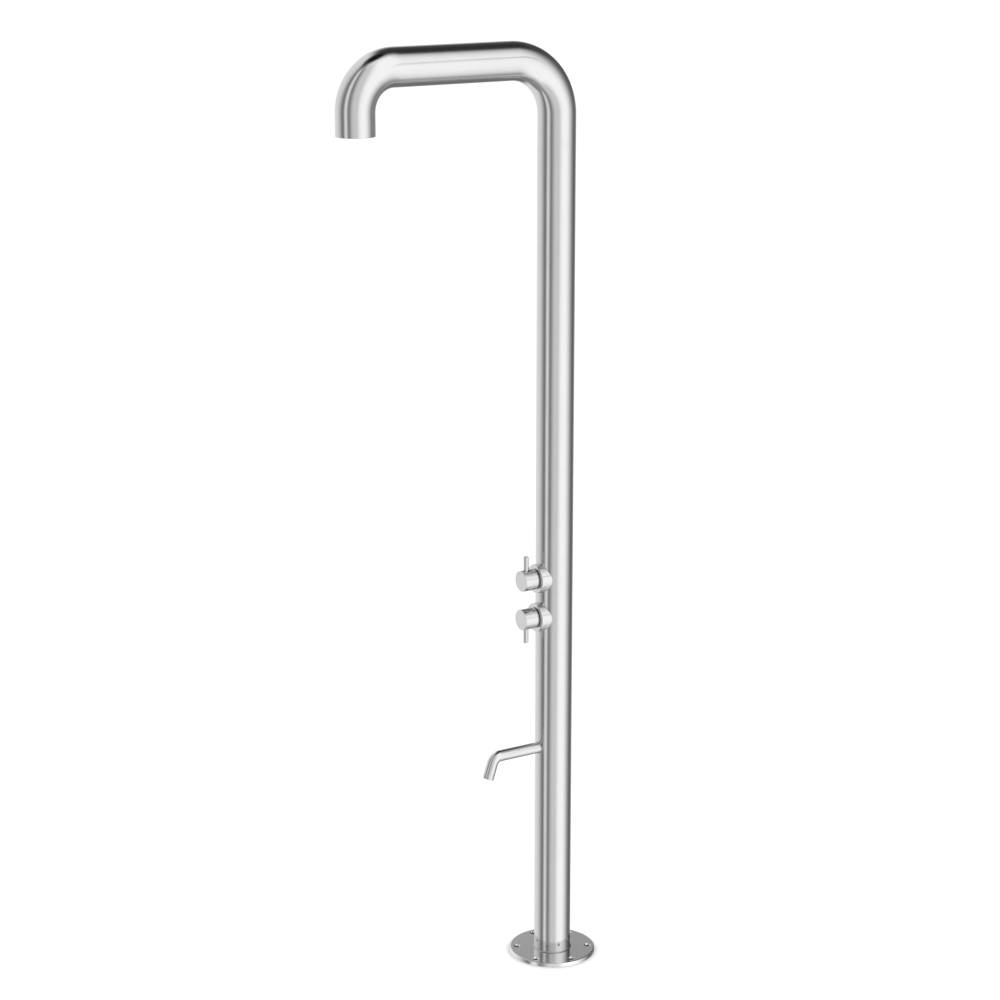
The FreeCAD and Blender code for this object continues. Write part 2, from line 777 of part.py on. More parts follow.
def make_spindle(side):
    """The brass spindle: a foot that turns the disc, a shaft in the housing and a tip in the knob."""
    body = new_body(f"{side}_spindle")
    step = "ring_top + spindle_step"
    tip = "cavity_floor + spindle_grip"
    outline = [
        ("0", "moving_top"),
        ("moving_disc_radius", "moving_top"),
        ("moving_disc_radius", "base_top"),
        ("spindle_radius", "base_top"),
        ("spindle_radius", "ring_low"),
        ("ring_groove_radius", "ring_low"),
        ("ring_groove_radius", "ring_top"),
        ("spindle_radius", "ring_top"),
        ("spindle_radius", step),
        ("spindle_tip_diameter / 2", step),
        ("spindle_tip_diameter / 2", tip),
        ("0", tip),
    ]
    revolve(body, outline)
    on_valve(body, side)


def make_retaining_ring(side):
    """The open spring ring in the spindle's groove, in front of the housing."""
    body = new_body(f"{side}_retaining_ring")
    inner = "ring_groove_radius + insert_clearance"
    outer = f"{inner} + retaining_ring_width"
    outline = [(inner, "ring_low"), (outer, "ring_low"), (outer, "ring_top"), (inner, "ring_top")]
    revolve(body, outline, "360 - retaining_ring_gap_angle")
    on_valve(body, side)


def o_ring(centre, section, level):
    """Makes a round rubber ring about Z at the given level."""
    torus = doc.addObject("Part::Torus", "o_ring")
    bind(torus, "Radius1", centre)
    bind(torus, "Radius2", section)
    return put(torus, ("0", "0", level))


def make_valve_seals(side):
    """The flat seat seal, the two rings on the spindle and the ring round the housing."""
    seat_seal = ring(f"{side}_seat_seal", "cartridge_radius", "waterway", "seat_level", "seal_top")
    on_valve(seat_seal, side)
    levels = ("stem_seal_place", "stem_seal_place + stem_seal_pitch")
    rings = [o_ring("stem_seal_centre", "stem_seal_radius", level) for level in levels]
    on_valve(group(f"{side}_stem_seals", rings), side)
    seal = part(o_ring("body_seal_centre", "body_seal_radius", "0"), f"{side}_body_seal")
    on_valve(seal, side)
    bind(seal, "Placement.Base.y", "0 - body_seal_level")


def make_knob(side):
    """The round knob, hollow behind, bored for the spindle's tip and seated for the pin lever."""
    body = new_body(f"{side}_knob")
    cavity = "cartridge_hex_flats / sqrt(3) + nut_clearance"
    bore = "spindle_tip_diameter / 2 + insert_clearance"
    bore_end = "cavity_floor + spindle_grip + end_play"
    outline = [
        (cavity, "knob_back"),
        ("knob_radius", "knob_back"),
        ("knob_radius", "knob_front"),
        ("0", "knob_front"),
        ("0", bore_end),
        (bore, bore_end),
        (bore, "cavity_floor"),
        (cavity, "cavity_floor"),
    ]
    turned = revolve(body, outline)
    front = round_edges(body, turned, "knob_radius", "knob_front", "knob_edge_round")
    round_edges(body, front, "knob_radius", "knob_back", "knob_edge_round")
    centre = ("0", "lever_level")
    stub_hole = "lever_stub_diameter / 2 + insert_clearance"
    round_cut(body, "XZ_Plane", "0", stub_hole, centre=centre, forwards=False)
    seat = "lever_radius + insert_clearance"
    lift = "lever_seat_depth - knob_radius"
    round_cut(body, "XZ_Plane", lift, seat, "knob_radius", centre, forwards=False)
    on_valve(body, side)


def make_pin_lever(side):
    """The round pin lever. Its threaded stub goes through the knob and grips the spindle."""
    body = new_body(f"{side}_pin_lever")
    seat = "knob_radius - lever_seat_depth"
    tip = "knob_radius + lever_reach"
    outline = [
        ("0", "stub_end"),
        ("lever_stub_diameter / 2", "stub_end"),
        ("lever_stub_diameter / 2", seat),
        ("lever_radius", seat),
        ("lever_radius", tip),
        ("0", tip),
    ]
    rod = revolve(body, outline)
    round_edges(body, rod, "lever_radius", tip, "lever_end_round")
    put(body, ("0", "0 - lever_level", f"{side}_knob_height"), 0 if side == "upper" else 180)


def make_valve(side):
    """One complete valve with its collar, knob and pin lever."""
    make_collar(side)
    make_saddle_gasket(side)
    make_valve_body(side)
    make_clamp_nut(side)
    make_cartridge_housing(side)
    make_disc(side, "fixed_disc", "fixed_disc_radius", "seal_top", "fixed_top", True)
    make_disc(side, "moving_disc", "moving_disc_radius", "moving_low", "moving_top", False)
    make_valve_seals(side)
    make_spindle(side)
    make_retaining_ring(side)
    make_knob(side)
    make_pin_lever(side)


# ---------------------------------------------------------------- supply, pipes and hoses


def make_inlet():
    """The brass supply inlet, clamped in the plate by a nut from below, with filter and check valve."""
    body = new_body("inlet_fitting")
    outer = "inlet_body_diameter / 2"
    shoulder = "inlet_shoulder_diameter / 2"
    boss = "inlet_boss_diameter / 2"
    thread_low = "inlet_port_height - port_thread_length"
    outline = [
        ("0", "inlet_recess"),
        (outer, "inlet_recess"),
        (outer, "plate_thickness"),
        (shoulder, "plate_thickness"),
        (shoulder, "inlet_shoulder_top"),
        (boss, "inlet_shoulder_top"),
        (boss, thread_low),
        ("port_thread_radius", thread_low),
        ("port_thread_radius", "inlet_port_height"),
        ("0", "inlet_port_height"),
    ]
    revolve(body, outline)
    steps = [
        ("inlet_thread_bore / 2", "inlet_thread_depth"),
        ("filter_diameter / 2 + insert_clearance", "filter_top - inlet_recess"),
        ("check_valve_diameter / 2 + insert_clearance", "check_top - inlet_recess"),
        ("waterway", None),
    ]
    for radius, depth in steps:
        round_cut(body, "XY_Plane", "inlet_recess", radius, depth)
    round_cut(body, "XY_Plane", "inlet_port_height", "socket_radius", "socket_depth", forwards=False)

    nut_thickness = "inlet_nut_recess - inlet_recess"
    nut = hex_nut("inlet_nut_flats", nut_thickness, f"{outer} + insert_clearance")
    put(part(nut, "inlet_lock_nut"), ("0", "0", "inlet_recess"))

    mesh_low = "inlet_thread_top + (filter_thickness - filter_mesh_thickness) / 2"
    rim_inside = "filter_diameter / 2 - aerator_wall"
    strainer = new_body("inlet_filter")
    radius = "filter_diameter / 2"
    mesh_top = f"{mesh_low} + filter_mesh_thickness"
    rim_top = "inlet_thread_top + filter_thickness"
    outline = [
        ("0", mesh_low),
        (rim_inside, mesh_low),
        (rim_inside, "inlet_thread_top"),
        (radius, "inlet_thread_top"),
        (radius, rim_top),
        (rim_inside, rim_top),
        (rim_inside, mesh_top),
        ("0", mesh_top),
    ]
    revolve(strainer, outline)
    hole = "filter_hole_diameter / 2"
    round_cut(strainer, "XY_Plane", "inlet_thread_top", hole)
    off_centre = ("filter_hole_pitch", "0")
    around(strainer, round_cut(strainer, "XY_Plane", "inlet_thread_top", hole, centre=off_centre), "6")

    check_low = "filter_top + insert_clearance"
    check_high = f"{check_low} + check_valve_length"
    ring("check_valve", "check_valve_diameter / 2", "check_valve_bore / 2", check_low, check_high)


def tube_run(label, bore, corners, radii):
    """Makes a pipe or hose along a path that starts upwards."""
    body = new_body(label)
    sweep(body, "pipe_radius", corners, radii)
    sweep(body, bore, corners, radii, cut=True)


def make_pipes():
    """The hoses and pipes between inlet, valves, spray head and foot spout."""
    into = "port_end - socket_depth"
    supply_shift_end = "supply_shift_start + supply_shift_length"
    supply = [
        ("0", "inlet_port_height - socket_depth"),
        ("0", "supply_shift_start"),
        ("supply_line_offset", supply_shift_end),
        ("supply_line_offset", f"lower_knob_height - ({into})"),
    ]
    tube_run("supply_hose", "hose_bore", supply, ["supply_bend_radius"] * 2)
    link = [
        ("supply_line_offset", f"lower_knob_height + {into}"),
        ("supply_line_offset", f"upper_knob_height - ({into})"),
    ]
    tube_run("link_pipe", "pipe_radius - pipe_wall", link, [])
    riser = [
        ("0 - outlet_line_offset", f"upper_knob_height + {into}"),
        ("0 - outlet_line_offset", "arm_height"),
        ("0 - arm_reach", "arm_height"),
        ("0 - arm_reach", "outlet_height + head_port_end - socket_depth"),
    ]
    tube_run("riser_hose", "hose_bore", riser, ["main_bend_radius", "riser_outlet_radius"])
    foot = [
        ("0 - outlet_line_offset", "spout_height + elbow_port_height - socket_depth"),
        ("0 - outlet_line_offset", f"lower_knob_height - ({into})"),
    ]
    tube_run("foot_pipe", "pipe_radius - pipe_wall", foot, [])


def joint_places():
    """Lists the pipe joints: place across the post, height of the port's end, and way it faces."""
    return [
        ("0", "inlet_port_height", True),
        ("supply_line_offset", "lower_knob_height - port_end", False),
        ("supply_line_offset", "lower_knob_height + port_end", True),
        ("supply_line_offset", "upper_knob_height - port_end", False),
        ("0 - outlet_line_offset", "upper_knob_height + port_end", True),
        ("0 - outlet_line_offset", "lower_knob_height - port_end", False),
        ("0 - outlet_line_offset", "spout_height + elbow_port_height", True),
        ("0 - arm_reach", "outlet_height + head_port_end", True),
    ]


def make_joints():
    """A compression nut and an olive on every pipe joint."""
    nuts = []
    olives = []
    for across, height, up in joint_places():
        sign = "" if up else "0 - "
        turn = 0 if up else 180
        cavity = cylinder("port_thread_radius + insert_clearance", "joint_nut_cavity")
        bore = cylinder("socket_radius", "joint_nut_length")
        nut = minus(hexagon("joint_nut_flats", "joint_nut_length"), cavity, bore)
        base = f"{height} + {sign}(joint_nut_base)"
        nuts.append(put(nut, ("0", across, base), turn))
        olive = minus(
            cylinder("port_thread_radius", "olive_length"),
            cylinder("pipe_radius + running_clearance", "olive_length"),
        )
        olives.append(put(olive, ("0", across, height), turn))
    group("compression_nuts", nuts)
    group("compression_olives", olives)


def spacer(across, height, hole_across, turn=0):
    """A foam disc that fills the tube and holds a hose."""
    disc = cylinder("bore_radius - insert_clearance", "spacer_thickness")
    hole = cylinder("socket_radius", "spacer_thickness", ("0", hole_across, "0"))
    return put(minus(disc, hole), ("0", across, height), turn)


def make_spacers():
    """The foam discs that keep the hoses off the tube's wall."""
    start = "upper_knob_height + collar_diameter"
    straight = f"(arm_height - main_bend_radius - ({start}))"
    share = "(spacer_count + 1)"
    riser_spacers = [
        spacer("0", f"{start} + {straight} * {number} / {share}", "0 - outlet_line_offset")
        for number in range(1, int(value("spacer_count")) + 1)
    ]
    group("riser_spacers", riser_spacers)
    middle = "0 - (main_bend_radius + outlet_line_offset + arm_reach - outlet_bend_radius) / 2"
    part(spacer(f"{middle} + spacer_thickness / 2", "arm_height", "0", 90), "arm_spacer")
    part(spacer("0", "supply_spacer_height", "0"), "supply_spacer")


# ---------------------------------------------------------------- foot spout


def make_foot_spout():
    """The bent spout, fitted to the post's surface, with a threaded tail that goes through it."""
    body = new_body("foot_spout")
    root = "tube_radius - spout_root"
    corners = [
        (f"0 - ({root})", "spout_height"),
        ("0 - spout_reach", "spout_height"),
        ("0 - (spout_tip_reach)", "spout_tip_height"),
    ]
    sweep(body, "spout_radius", corners, ["spout_bend_radius"], upright=False)
    saddle = new_sketch(body, "XY_Plane", "0")
    add_circle(saddle, "tube_radius + insert_clearance")
    pocket(body, saddle)
    centre = ("0", "spout_height")
    tail_front = "tube_radius + spout_root / 2"
    tail_length = f"{tail_front} - (spout_tail_end)"
    round_pad(body, "XZ_Plane", "spout_tail_end", "spout_tail_radius", tail_length, centre)
    inside = [("0 - (tube_radius + spout_root)", "spout_height")] + corners[1:]
    sweep(body, "spout_bore", inside, ["spout_bend_radius"], upright=False, cut=True)
    bore_length = "tube_radius + spout_root + cut_overrun - (spout_tail_end)"
    round_cut(body, "XZ_Plane", "spout_tail_end", "spout_tail_bore / 2", bore_length, centre)

    bore = "spout_tail_radius + insert_clearance"
    nut = hex_nut("spout_nut_flats", "spout_nut_thickness", bore)
    put(part(nut, "spout_back_nut"), ("0", "0 - (spout_nut_back)", "spout_height"), 90)


def make_foot_elbow():
    """The brass elbow inside the post: pipe joint on top, the spout's tail in front."""
    body = new_body("foot_elbow")
    body_radius = "elbow_body_diameter / 2"
    outline = [
        ("0", f"0 - {body_radius}"),
        (body_radius, f"0 - {body_radius}"),
        (body_radius, "elbow_height"),
        ("port_thread_radius", "elbow_height"),
        ("port_thread_radius", "elbow_port_height"),
        ("0", "elbow_port_height"),
    ]
    revolve(body, outline)
    round_pad(body, "XZ_Plane", "0", "elbow_boss_diameter / 2", "elbow_reach")
    round_cut(body, "XY_Plane", "0", "waterway")
    round_cut(body, "XY_Plane", "elbow_port_height", "socket_radius", "socket_depth", forwards=False)
    round_cut(body, "XZ_Plane", "0", "waterway")
    tail_bore = "spout_tail_radius + insert_clearance"
    depth = "spout_thread_grip + end_play"
    round_cut(body, "XZ_Plane", "elbow_reach", tail_bore, depth, forwards=False)
    put(body, ("0", "0 - outlet_line_offset", "spout_height"))


def at_spout_tip(piece):
    """Puts a piece in the spout's mouth, with its Z axis pointing back up the spout."""
    put(piece, ("0", "0 - (spout_tip_reach)", "spout_tip_height"))
    lean = Rotation(-ALONG_X, value("90 - spout_angle"))
    piece.Placement = Placement(piece.Placement.Base, lean)
    bind(piece, "Placement.Rotation.Angle", "90 - spout_angle")
    return piece


def make_aerator():
    """The flow straightener in the spout's mouth, and the washer behind it."""
    body = new_body("spout_aerator")
    radius = "spout_bore - insert_clearance"
    inside = f"{radius} - aerator_wall"
    back = "aerator_recess + aerator_length"
    web = "aerator_recess + aerator_web"
    outline = [
        ("0", "aerator_recess"),
        (radius, "aerator_recess"),
        (radius, back),
        (inside, back),
        (inside, web),
        ("0", web),
    ]
    revolve(body, outline)
    hole = "aerator_hole_diameter / 2"
    round_cut(body, "XY_Plane", "aerator_recess", hole, "aerator_web")
    for ring_number in (1, 2):
        centre = (f"aerator_hole_pitch * {ring_number}", "0")
        first = round_cut(body, "XY_Plane", "aerator_recess", hole, "aerator_web", centre)
        around(body, first, f"6 * {ring_number}")
    at_spout_tip(body)
    washer = ring("aerator_washer", radius, inside, back, f"{back} + seal_thickness")
    at_spout_tip(washer)


# ---------------------------------------------------------------- spray head


def at_outlet(piece):
    """Puts a piece in the outlet, with its Z axis up from the outlet's end."""
    return put(piece, ("0", "0 - arm_reach", "outlet_height"))


def screw_circle():
    """The place of the first plate screw: on the side away from the post and from the set screw."""
    return ("0", "0 - plate_screw_circle")


def nozzle_places():
    """Lists the first nozzle of each ring with the number of nozzles in it."""
    rings = range(1, int(value("nozzle_ring_count")) + 1)
    return [((f"nozzle_ring_pitch * {number}", "0"), f"6 * {number}") for number in rings]


def make_head_housing():
    """The cup behind the spray plate, with its hose port on top."""
    body = new_body("head_housing")
    boss = "port_boss_diameter / 2"
    low, high = "head_seal_level - head_groove_half", "head_seal_level + head_groove_half"
    outline = [
        ("head_cavity_radius", "spray_top"),
        ("head_radius", "spray_top"),
        ("head_radius", low),
        ("head_groove_radius", low),
        ("head_groove_radius", high),
        ("head_radius", high),
        ("head_radius", "head_top"),
        (boss, "head_top"),
        (boss, "head_thread_low"),
        ("port_thread_radius", "head_thread_low"),
        ("port_thread_radius", "head_port_end"),
        ("0", "head_port_end"),
        ("0", "head_top - head_roof"),
        ("head_cavity_radius", "head_top - head_roof"),
    ]
    revolve(body, outline)
    round_cut(body, "XY_Plane", "spray_top", "waterway")
    round_cut(body, "XY_Plane", "head_port_end", "socket_radius", "socket_depth", forwards=False)
    hole = "plate_screw_diameter / 2 + insert_clearance"
    depth = "plate_screw_length - spray_plate_thickness + end_play"
    first = round_cut(body, "XY_Plane", "spray_top", hole, depth, screw_circle())
    around(body, first, "plate_screw_count")
    set_hole = "set_screw_diameter / 2 + insert_clearance"
    side = new_sketch(body, "XZ_Plane", "set_screw_length + set_screw_sink + end_play - tube_radius")
    add_circle(side, set_hole, ("0", "set_screw_height"))
    pocket(body, side, "tube_diameter", forwards=False)
    at_outlet(body)


def make_spray_plate():
    """The stainless disc that closes the outlet, with holes for the nozzles and its screws."""
    body = new_body("spray_plate")
    radius = "head_radius"
    disc = [
        ("0", "spray_recess"),
        (radius, "spray_recess"),
        (radius, "spray_top"),
        ("0", "spray_top"),
    ]
    revolve(body, disc)
    hole = "nozzle_diameter / 2 + insert_clearance"
    round_cut(body, "XY_Plane", "spray_recess", hole)
    for centre, count in nozzle_places():
        around(body, round_cut(body, "XY_Plane", "spray_recess", hole, centre=centre), count)
    sketch = new_sketch(body, "XY_Plane", "spray_recess")
    add_circle(sketch, "plate_screw_diameter / 2", screw_circle())
    screw_hole = body.newObject("PartDesign::Hole", "screw_hole")
    screw_hole.Profile = sketch
    doc.recompute()
    screw_hole.Reversed = True
    screw_hole.DepthType = "ThroughAll"
    bind(screw_hole, "Diameter", "plate_screw_diameter + 2 * insert_clearance")
    screw_hole.HoleCutType = "Countersink"
    screw_hole.HoleCutCustomValues = True
    bind(screw_hole, "HoleCutDiameter", "plate_screw_head + 2 * insert_clearance")
    screw_hole.HoleCutCountersinkAngle = 90
    changed(body, screw_hole, -1)
    around(body, screw_hole, "plate_screw_count")
    at_outlet(body)


def make_nozzle_mat():
    """The silicone mat behind the plate, with its nozzles moulded on in rings."""
    body = new_body("nozzle_mat")
    radius = "head_cavity_radius - insert_clearance"
    mat = [("0", "spray_top"), (radius, "spray_top"), (radius, "mat_top"), ("0", "mat_top")]
    revolve(body, mat)
    nozzle = "nozzle_diameter / 2"
    length = "mat_top - nozzle_recess"
    rows = [(("0", "0"), "1")] + nozzle_places()
    for centre, count in rows:
        tube = round_pad(body, "XY_Plane", "nozzle_recess", nozzle, length, centre)
        if count != "1":
            around(body, tube, count)
    for centre, count in rows:
        bore = round_cut(body, "XY_Plane", "nozzle_recess", "nozzle_bore / 2", length, centre)
        if count != "1":
            around(body, bore, count)
    at_outlet(body)


def make_head_fasteners():
    """The seal round the housing, the plate's countersunk screws and the set screw."""
    seal = part(o_ring("head_seal_centre", "head_seal_radius", "0"), "head_seal")
    put(seal, ("0", "0 - arm_reach", "outlet_height + head_seal_level"))
    screws = []
    for number in range(int(value("plate_screw_count"))):
        turn = math.radians(360 * number / value("plate_screw_count") - 90)
        across, along = math.cos(turn), math.sin(turn)
        head = doc.addObject("Part::Cone", "head")
        bind(head, "Radius1", "plate_screw_head / 2")
        bind(head, "Radius2", "plate_screw_diameter / 2")
        bind(head, "Height", "(plate_screw_head - plate_screw_diameter) / 2")
        shank = cylinder("plate_screw_diameter / 2", "plate_screw_length")
        screw = doc.addObject("Part::Fuse", "plate_screw")
        screw.Base = head
        screw.Tool = shank
        spot = (f"plate_screw_circle * {across:.9f}", f"plate_screw_circle * {along:.9f}", "spray_recess")
        screws.append(put(screw, spot))
    at_outlet(group("plate_screws", screws))
    grub = part(cylinder("set_screw_diameter / 2", "set_screw_length"), "head_set_screw")
    place = (
        "0",
        "tube_radius - set_screw_sink - arm_reach",
        "outlet_height + set_screw_height",
    )
    put(grub, place, 90)


# ---------------------------------------------------------------- build, check and write


def check_everything():
    """Stops on any failed object, or on any sub-part with an empty or faulty shape."""
    doc.recompute()
    for thing in doc.Objects:
        if {"Invalid", "Error"} & set(thing.State):
            raise RuntimeError(f"{thing.Name} ({thing.Label}) failed: {thing.State}")
    for thing in parts:
        if thing.Shape.isNull() or not thing.Shape.isValid() or not thing.Shape.Solids:
            raise RuntimeError(f"{thing.Label} has no sound shape")


def write_parts():
    """Writes each sub-part to a file of its own name."""
    os.makedirs("parts", exist_ok=True)
    for thing in parts:
        thing.Shape.exportStep(f"parts/{thing.Label}.step")
        solids = len(thing.Shape.Solids)
        print(f"{thing.Label}: {solids} solid(s), {thing.Shape.Volume / 1000:.2f} cm3")


make_post_tube()
make_base_flange()
for valve_side in ("upper", "lower"):
    make_valve(valve_side)
make_inlet()
make_pipes()
make_joints()
make_spacers()
make_foot_spout()
make_foot_elbow()
make_aerator()
make_head_housing()
make_spray_plate()
make_nozzle_mat()
make_head_fasteners()
check_everything()
write_parts()
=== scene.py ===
import math

import bmesh
import bpy
import numpy as np
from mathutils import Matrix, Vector


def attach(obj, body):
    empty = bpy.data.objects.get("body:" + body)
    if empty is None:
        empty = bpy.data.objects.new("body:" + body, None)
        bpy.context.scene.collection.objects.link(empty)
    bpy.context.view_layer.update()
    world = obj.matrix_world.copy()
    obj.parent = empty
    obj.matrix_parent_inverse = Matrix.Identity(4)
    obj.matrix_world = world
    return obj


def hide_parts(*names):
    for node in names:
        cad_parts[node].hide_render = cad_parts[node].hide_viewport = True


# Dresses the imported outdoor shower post: fine surfaces for what shows, a material for every node,
# the studio and the camera. Metres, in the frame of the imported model: +Z up, arm towards -Y.

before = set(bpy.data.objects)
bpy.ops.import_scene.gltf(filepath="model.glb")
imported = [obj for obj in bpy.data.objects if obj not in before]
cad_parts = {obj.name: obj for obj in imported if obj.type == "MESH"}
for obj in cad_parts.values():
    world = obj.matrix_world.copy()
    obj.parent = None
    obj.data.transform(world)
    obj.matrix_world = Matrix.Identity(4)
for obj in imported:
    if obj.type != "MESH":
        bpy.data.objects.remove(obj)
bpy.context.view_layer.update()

MM = 0.001
FULL_TURN = 2 * math.pi
QUARTER_TURN = math.pi / 2

# ---------------------------------------------------------------- sizes, as in the part's source

TUBE_RADIUS = 44.45 * MM
TUBE_WALL = 2.0 * MM
ARM_HEIGHT = 2192.0 * MM
ARM_REACH = 522.0 * MM
MAIN_BEND = 125.0 * MM
OUTLET_BEND = 94.0 * MM
OUTLET_HEIGHT = 2047.0 * MM

PLATE_TOP = 10.0 * MM
PLATE_RADIUS = 105.0 * MM
BOLT_CIRCLE = 87.5 * MM
BOLT_COUNT = 6
BOLT_HOLE = 4.5 * MM
BOLT_HEAD = 8.5 * MM
INLET_HOLE = 16.0 * MM
RECESS_RADIUS = 25.1 * MM
RECESS_DEPTH = 5.0 * MM

KNOB_HEIGHTS = {"upper": 970.0 * MM, "lower": 874.0 * MM}
LEVER_LEVEL = -79.45 * MM
NECK_HOLE = 15.3 * MM

SPOUT_HEIGHT = 542.0 * MM
SPOUT_RADIUS = 13.45 * MM
SPOUT_WALL = 2.0 * MM
SPOUT_REACH = 168.0 * MM
SPOUT_BEND = 21.5 * MM
SPOUT_DROP = 55.5 * MM
SPOUT_ANGLE = math.radians(71.0)
TAIL_RADIUS = 10.0 * MM
TAIL_BORE = 7.0 * MM
TAIL_HOLE = 10.3 * MM
TAIL_END = 24.8 * MM

SPRAY_FACE = OUTLET_HEIGHT + 2.0 * MM
SCREW_CIRCLE = 38.2 * MM
SCREW_COUNT = 3
SET_SCREW_HEIGHT = OUTLET_HEIGHT + 12.0 * MM
SET_SCREW_HOLE = 2.1 * MM
SET_SCREW_SINK = 0.3 * MM

# ---------------------------------------------------------------- sizes of the finer detail

SHARP_ANGLE = math.radians(40.0)
# points nearer than this are one point, and distances nearer than this are the same
MERGE_DISTANCE = 0.0005 * MM
ROUND_OFF = 1e-9
LIP = 0.5 * MM
LIP_STEPS = 5
PLATE_EDGE = 2.6 * MM
PLATE_BEVEL = 0.4 * MM
# how close to a round edge an extra ring holds the flat beside it flat in the light
HOLD = 0.1 * MM
FOOT_WELD_LEG = 3.0 * MM
SPOUT_WELD_LEG = 1.6 * MM
WELD_OVERLAP = 0.05 * MM
WELD_GAP = 0.02 * MM
# the dressed bead goes up and down RIPPLE_COUNT times round the post, at an uneven pace
RIPPLE_HEIGHT = 0.07 * MM
RIPPLE_COUNT = 60
PACE_SHIFT = 0.8
PACE_COUNT = 7
SADDLE_GAP = 0.1 * MM
SPOUT_START = 55.0 * MM
BORE_STEP = 4.0 * MM
# how far a bolt hole's cutter stands out of the plate, and where along Y the other cutters run
CUT_OVER = 1.0 * MM
FRONT_CUT = (-70 * MM, -20 * MM)
OUTLET_CUT = (-490 * MM, -460 * MM)
# (radius, level) in mm from a screw's far end to its face, and its socket's flats and depth
DISC_SCREW = [(0, -11), (1.2, -11), (1.45, -10.6), (1.45, -1.3), (2.75, -0.05), (2.7, 0)]
DISC_SOCKET = (2.0 * MM, 1.1 * MM)
SET_SCREW = [(0, -6), (1.3, -6), (1.9, -5.4), (1.9, -0.4), (1.6, 0)]
SET_SOCKET = (2.0 * MM, 2.2 * MM)
# the depth of the cone in a socket's floor as a share of the socket's width
SOCKET_CONE = 0.2

# ---------------------------------------------------------------- meshes


def close_up(mesh):
    """Merges points that lie together, as at the poles and along the edges of a cut."""
    shape = bmesh.new()
    shape.from_mesh(mesh)
    bmesh.ops.remove_doubles(shape, verts=shape.verts, dist=MERGE_DISTANCE)
    shape.to_mesh(mesh)
    shape.free()


def surface(name, points, faces, material):
    """Makes an object at the origin from points and faces, with closed poles."""
    mesh = bpy.data.meshes.new(name)
    mesh.from_pydata(points.tolist(), [], faces.tolist())
    close_up(mesh)
    mesh.materials.append(material)
    mesh.polygons.foreach_set("use_smooth", np.ones(len(mesh.polygons), bool))
    mesh.set_sharp_from_angle(angle=SHARP_ANGLE)
    made = bpy.data.objects.new(name, mesh)
    bpy.context.scene.collection.objects.link(made)
    return made


def piece(name, points, faces, material, slot):
    """Makes a piece of the post, on the post's body, with the given material."""
    made = surface(name, points, faces, material)
    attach(made, "post")
    return made


def net(rows, columns, loop):
    """Faces of a grid that is closed round each row, and from the last row to the first if a loop."""
    last = rows if loop else rows - 1
    row, column = np.meshgrid(np.arange(last), np.arange(columns), indexing="ij")
    after, beside = (row + 1) % rows, (column + 1) % columns
    corners = [(row, column), (row, beside), (after, beside), (after, column)]
    return np.stack([r * columns + c for r, c in corners], -1).reshape(-1, 4)


def joined(shapes):
    """Puts several surfaces, each as its points and faces, into one."""
    firsts = np.cumsum([0] + [len(points) for points, _ in shapes])
    points = [points for points, _ in shapes]
    faces = [faces + first for (_, faces), first in zip(shapes, firsts)]
    return np.concatenate(points), np.concatenate(faces)


def bent_line(spots, radii):
    """Runs and arcs in the middle plane: a function of the distance along them, and their length.

    A run goes on by its direction times the distance. An arc turns the vector from its centre, and
    the direction, by the distance over its radius.
    """
    spots = np.array(spots, float)
    legs = np.diff(spots, axis=0)
    lengths = np.hypot(*legs.T)
    ways = legs / lengths[:, None]
    crosses = ways[:-1, 0] * ways[1:, 1] - ways[:-1, 1] * ways[1:, 0]
    turns = np.arctan2(crosses, (ways[:-1] * ways[1:]).sum(1))
    trims = np.concatenate([[0.0], np.array(radii) * np.tan(np.abs(turns) / 2), [0.0]])
    stretches = []
    start = 0.0
    for number, way in enumerate(ways):
        begin = spots[number] + way * trims[number]
        run = lengths[number] - trims[number] - trims[number + 1]
        stretches.append((start, start + run, begin, way, 0.0))
        start += run
        if number < len(turns):
            arc = radii[number] * abs(turns[number])
            stretches.append((start, start + arc, begin + way * run, way, turns[number] / arc))
            start += arc

    def at(distance):
        """Places on the line, and the line's directions there."""
        place = np.zeros((len(distance), 2))
        way_there = np.zeros((len(distance), 2))
        for low, high, begin, way, bend in stretches:
            inside = (distance >= low - ROUND_OFF) & (distance <= high + ROUND_OFF)
            gone = distance[inside] - low
            if bend == 0.0:
                place[inside] = begin + gone[:, None] * way
                way_there[inside] = way
            else:
                side = np.array([-way[1], way[0]])
                sine, cosine = np.sin(gone * bend)[:, None], np.cos(gone * bend)[:, None]
                place[inside] = begin + (sine * way + (1 - cosine) * side) / bend
                way_there[inside] = cosine * way + sine * side
        return place, way_there

    return at, start


def rings(line, distances, radii, columns):
    """Circles across a bent line: centre + radius * (cos a * X + sin a * the line's own side)."""
    place, way = line(distances)
    angle = np.linspace(0, FULL_TURN, columns, endpoint=False)
    side = np.stack([way[:, 1], -way[:, 0]], -1)
    across = np.outer(radii, np.cos(angle))
    along = np.outer(radii, np.sin(angle))
    y = place[:, :1] + along * side[:, :1]
    z = place[:, 1:] + along * side[:, 1:]
    return np.stack([across, y, z], -1)


def turned_rings(profile, columns):
    """A profile of (radius, level) carried round Z: x = r cos a, y = r sin a, z = level."""
    radius, level = np.array(profile, float).T
    angle = np.linspace(0, FULL_TURN, columns, endpoint=False)
    x, y = np.outer(radius, np.cos(angle)), np.outer(radius, np.sin(angle))
    return np.stack([x, y, np.outer(level, np.ones(columns))], -1)


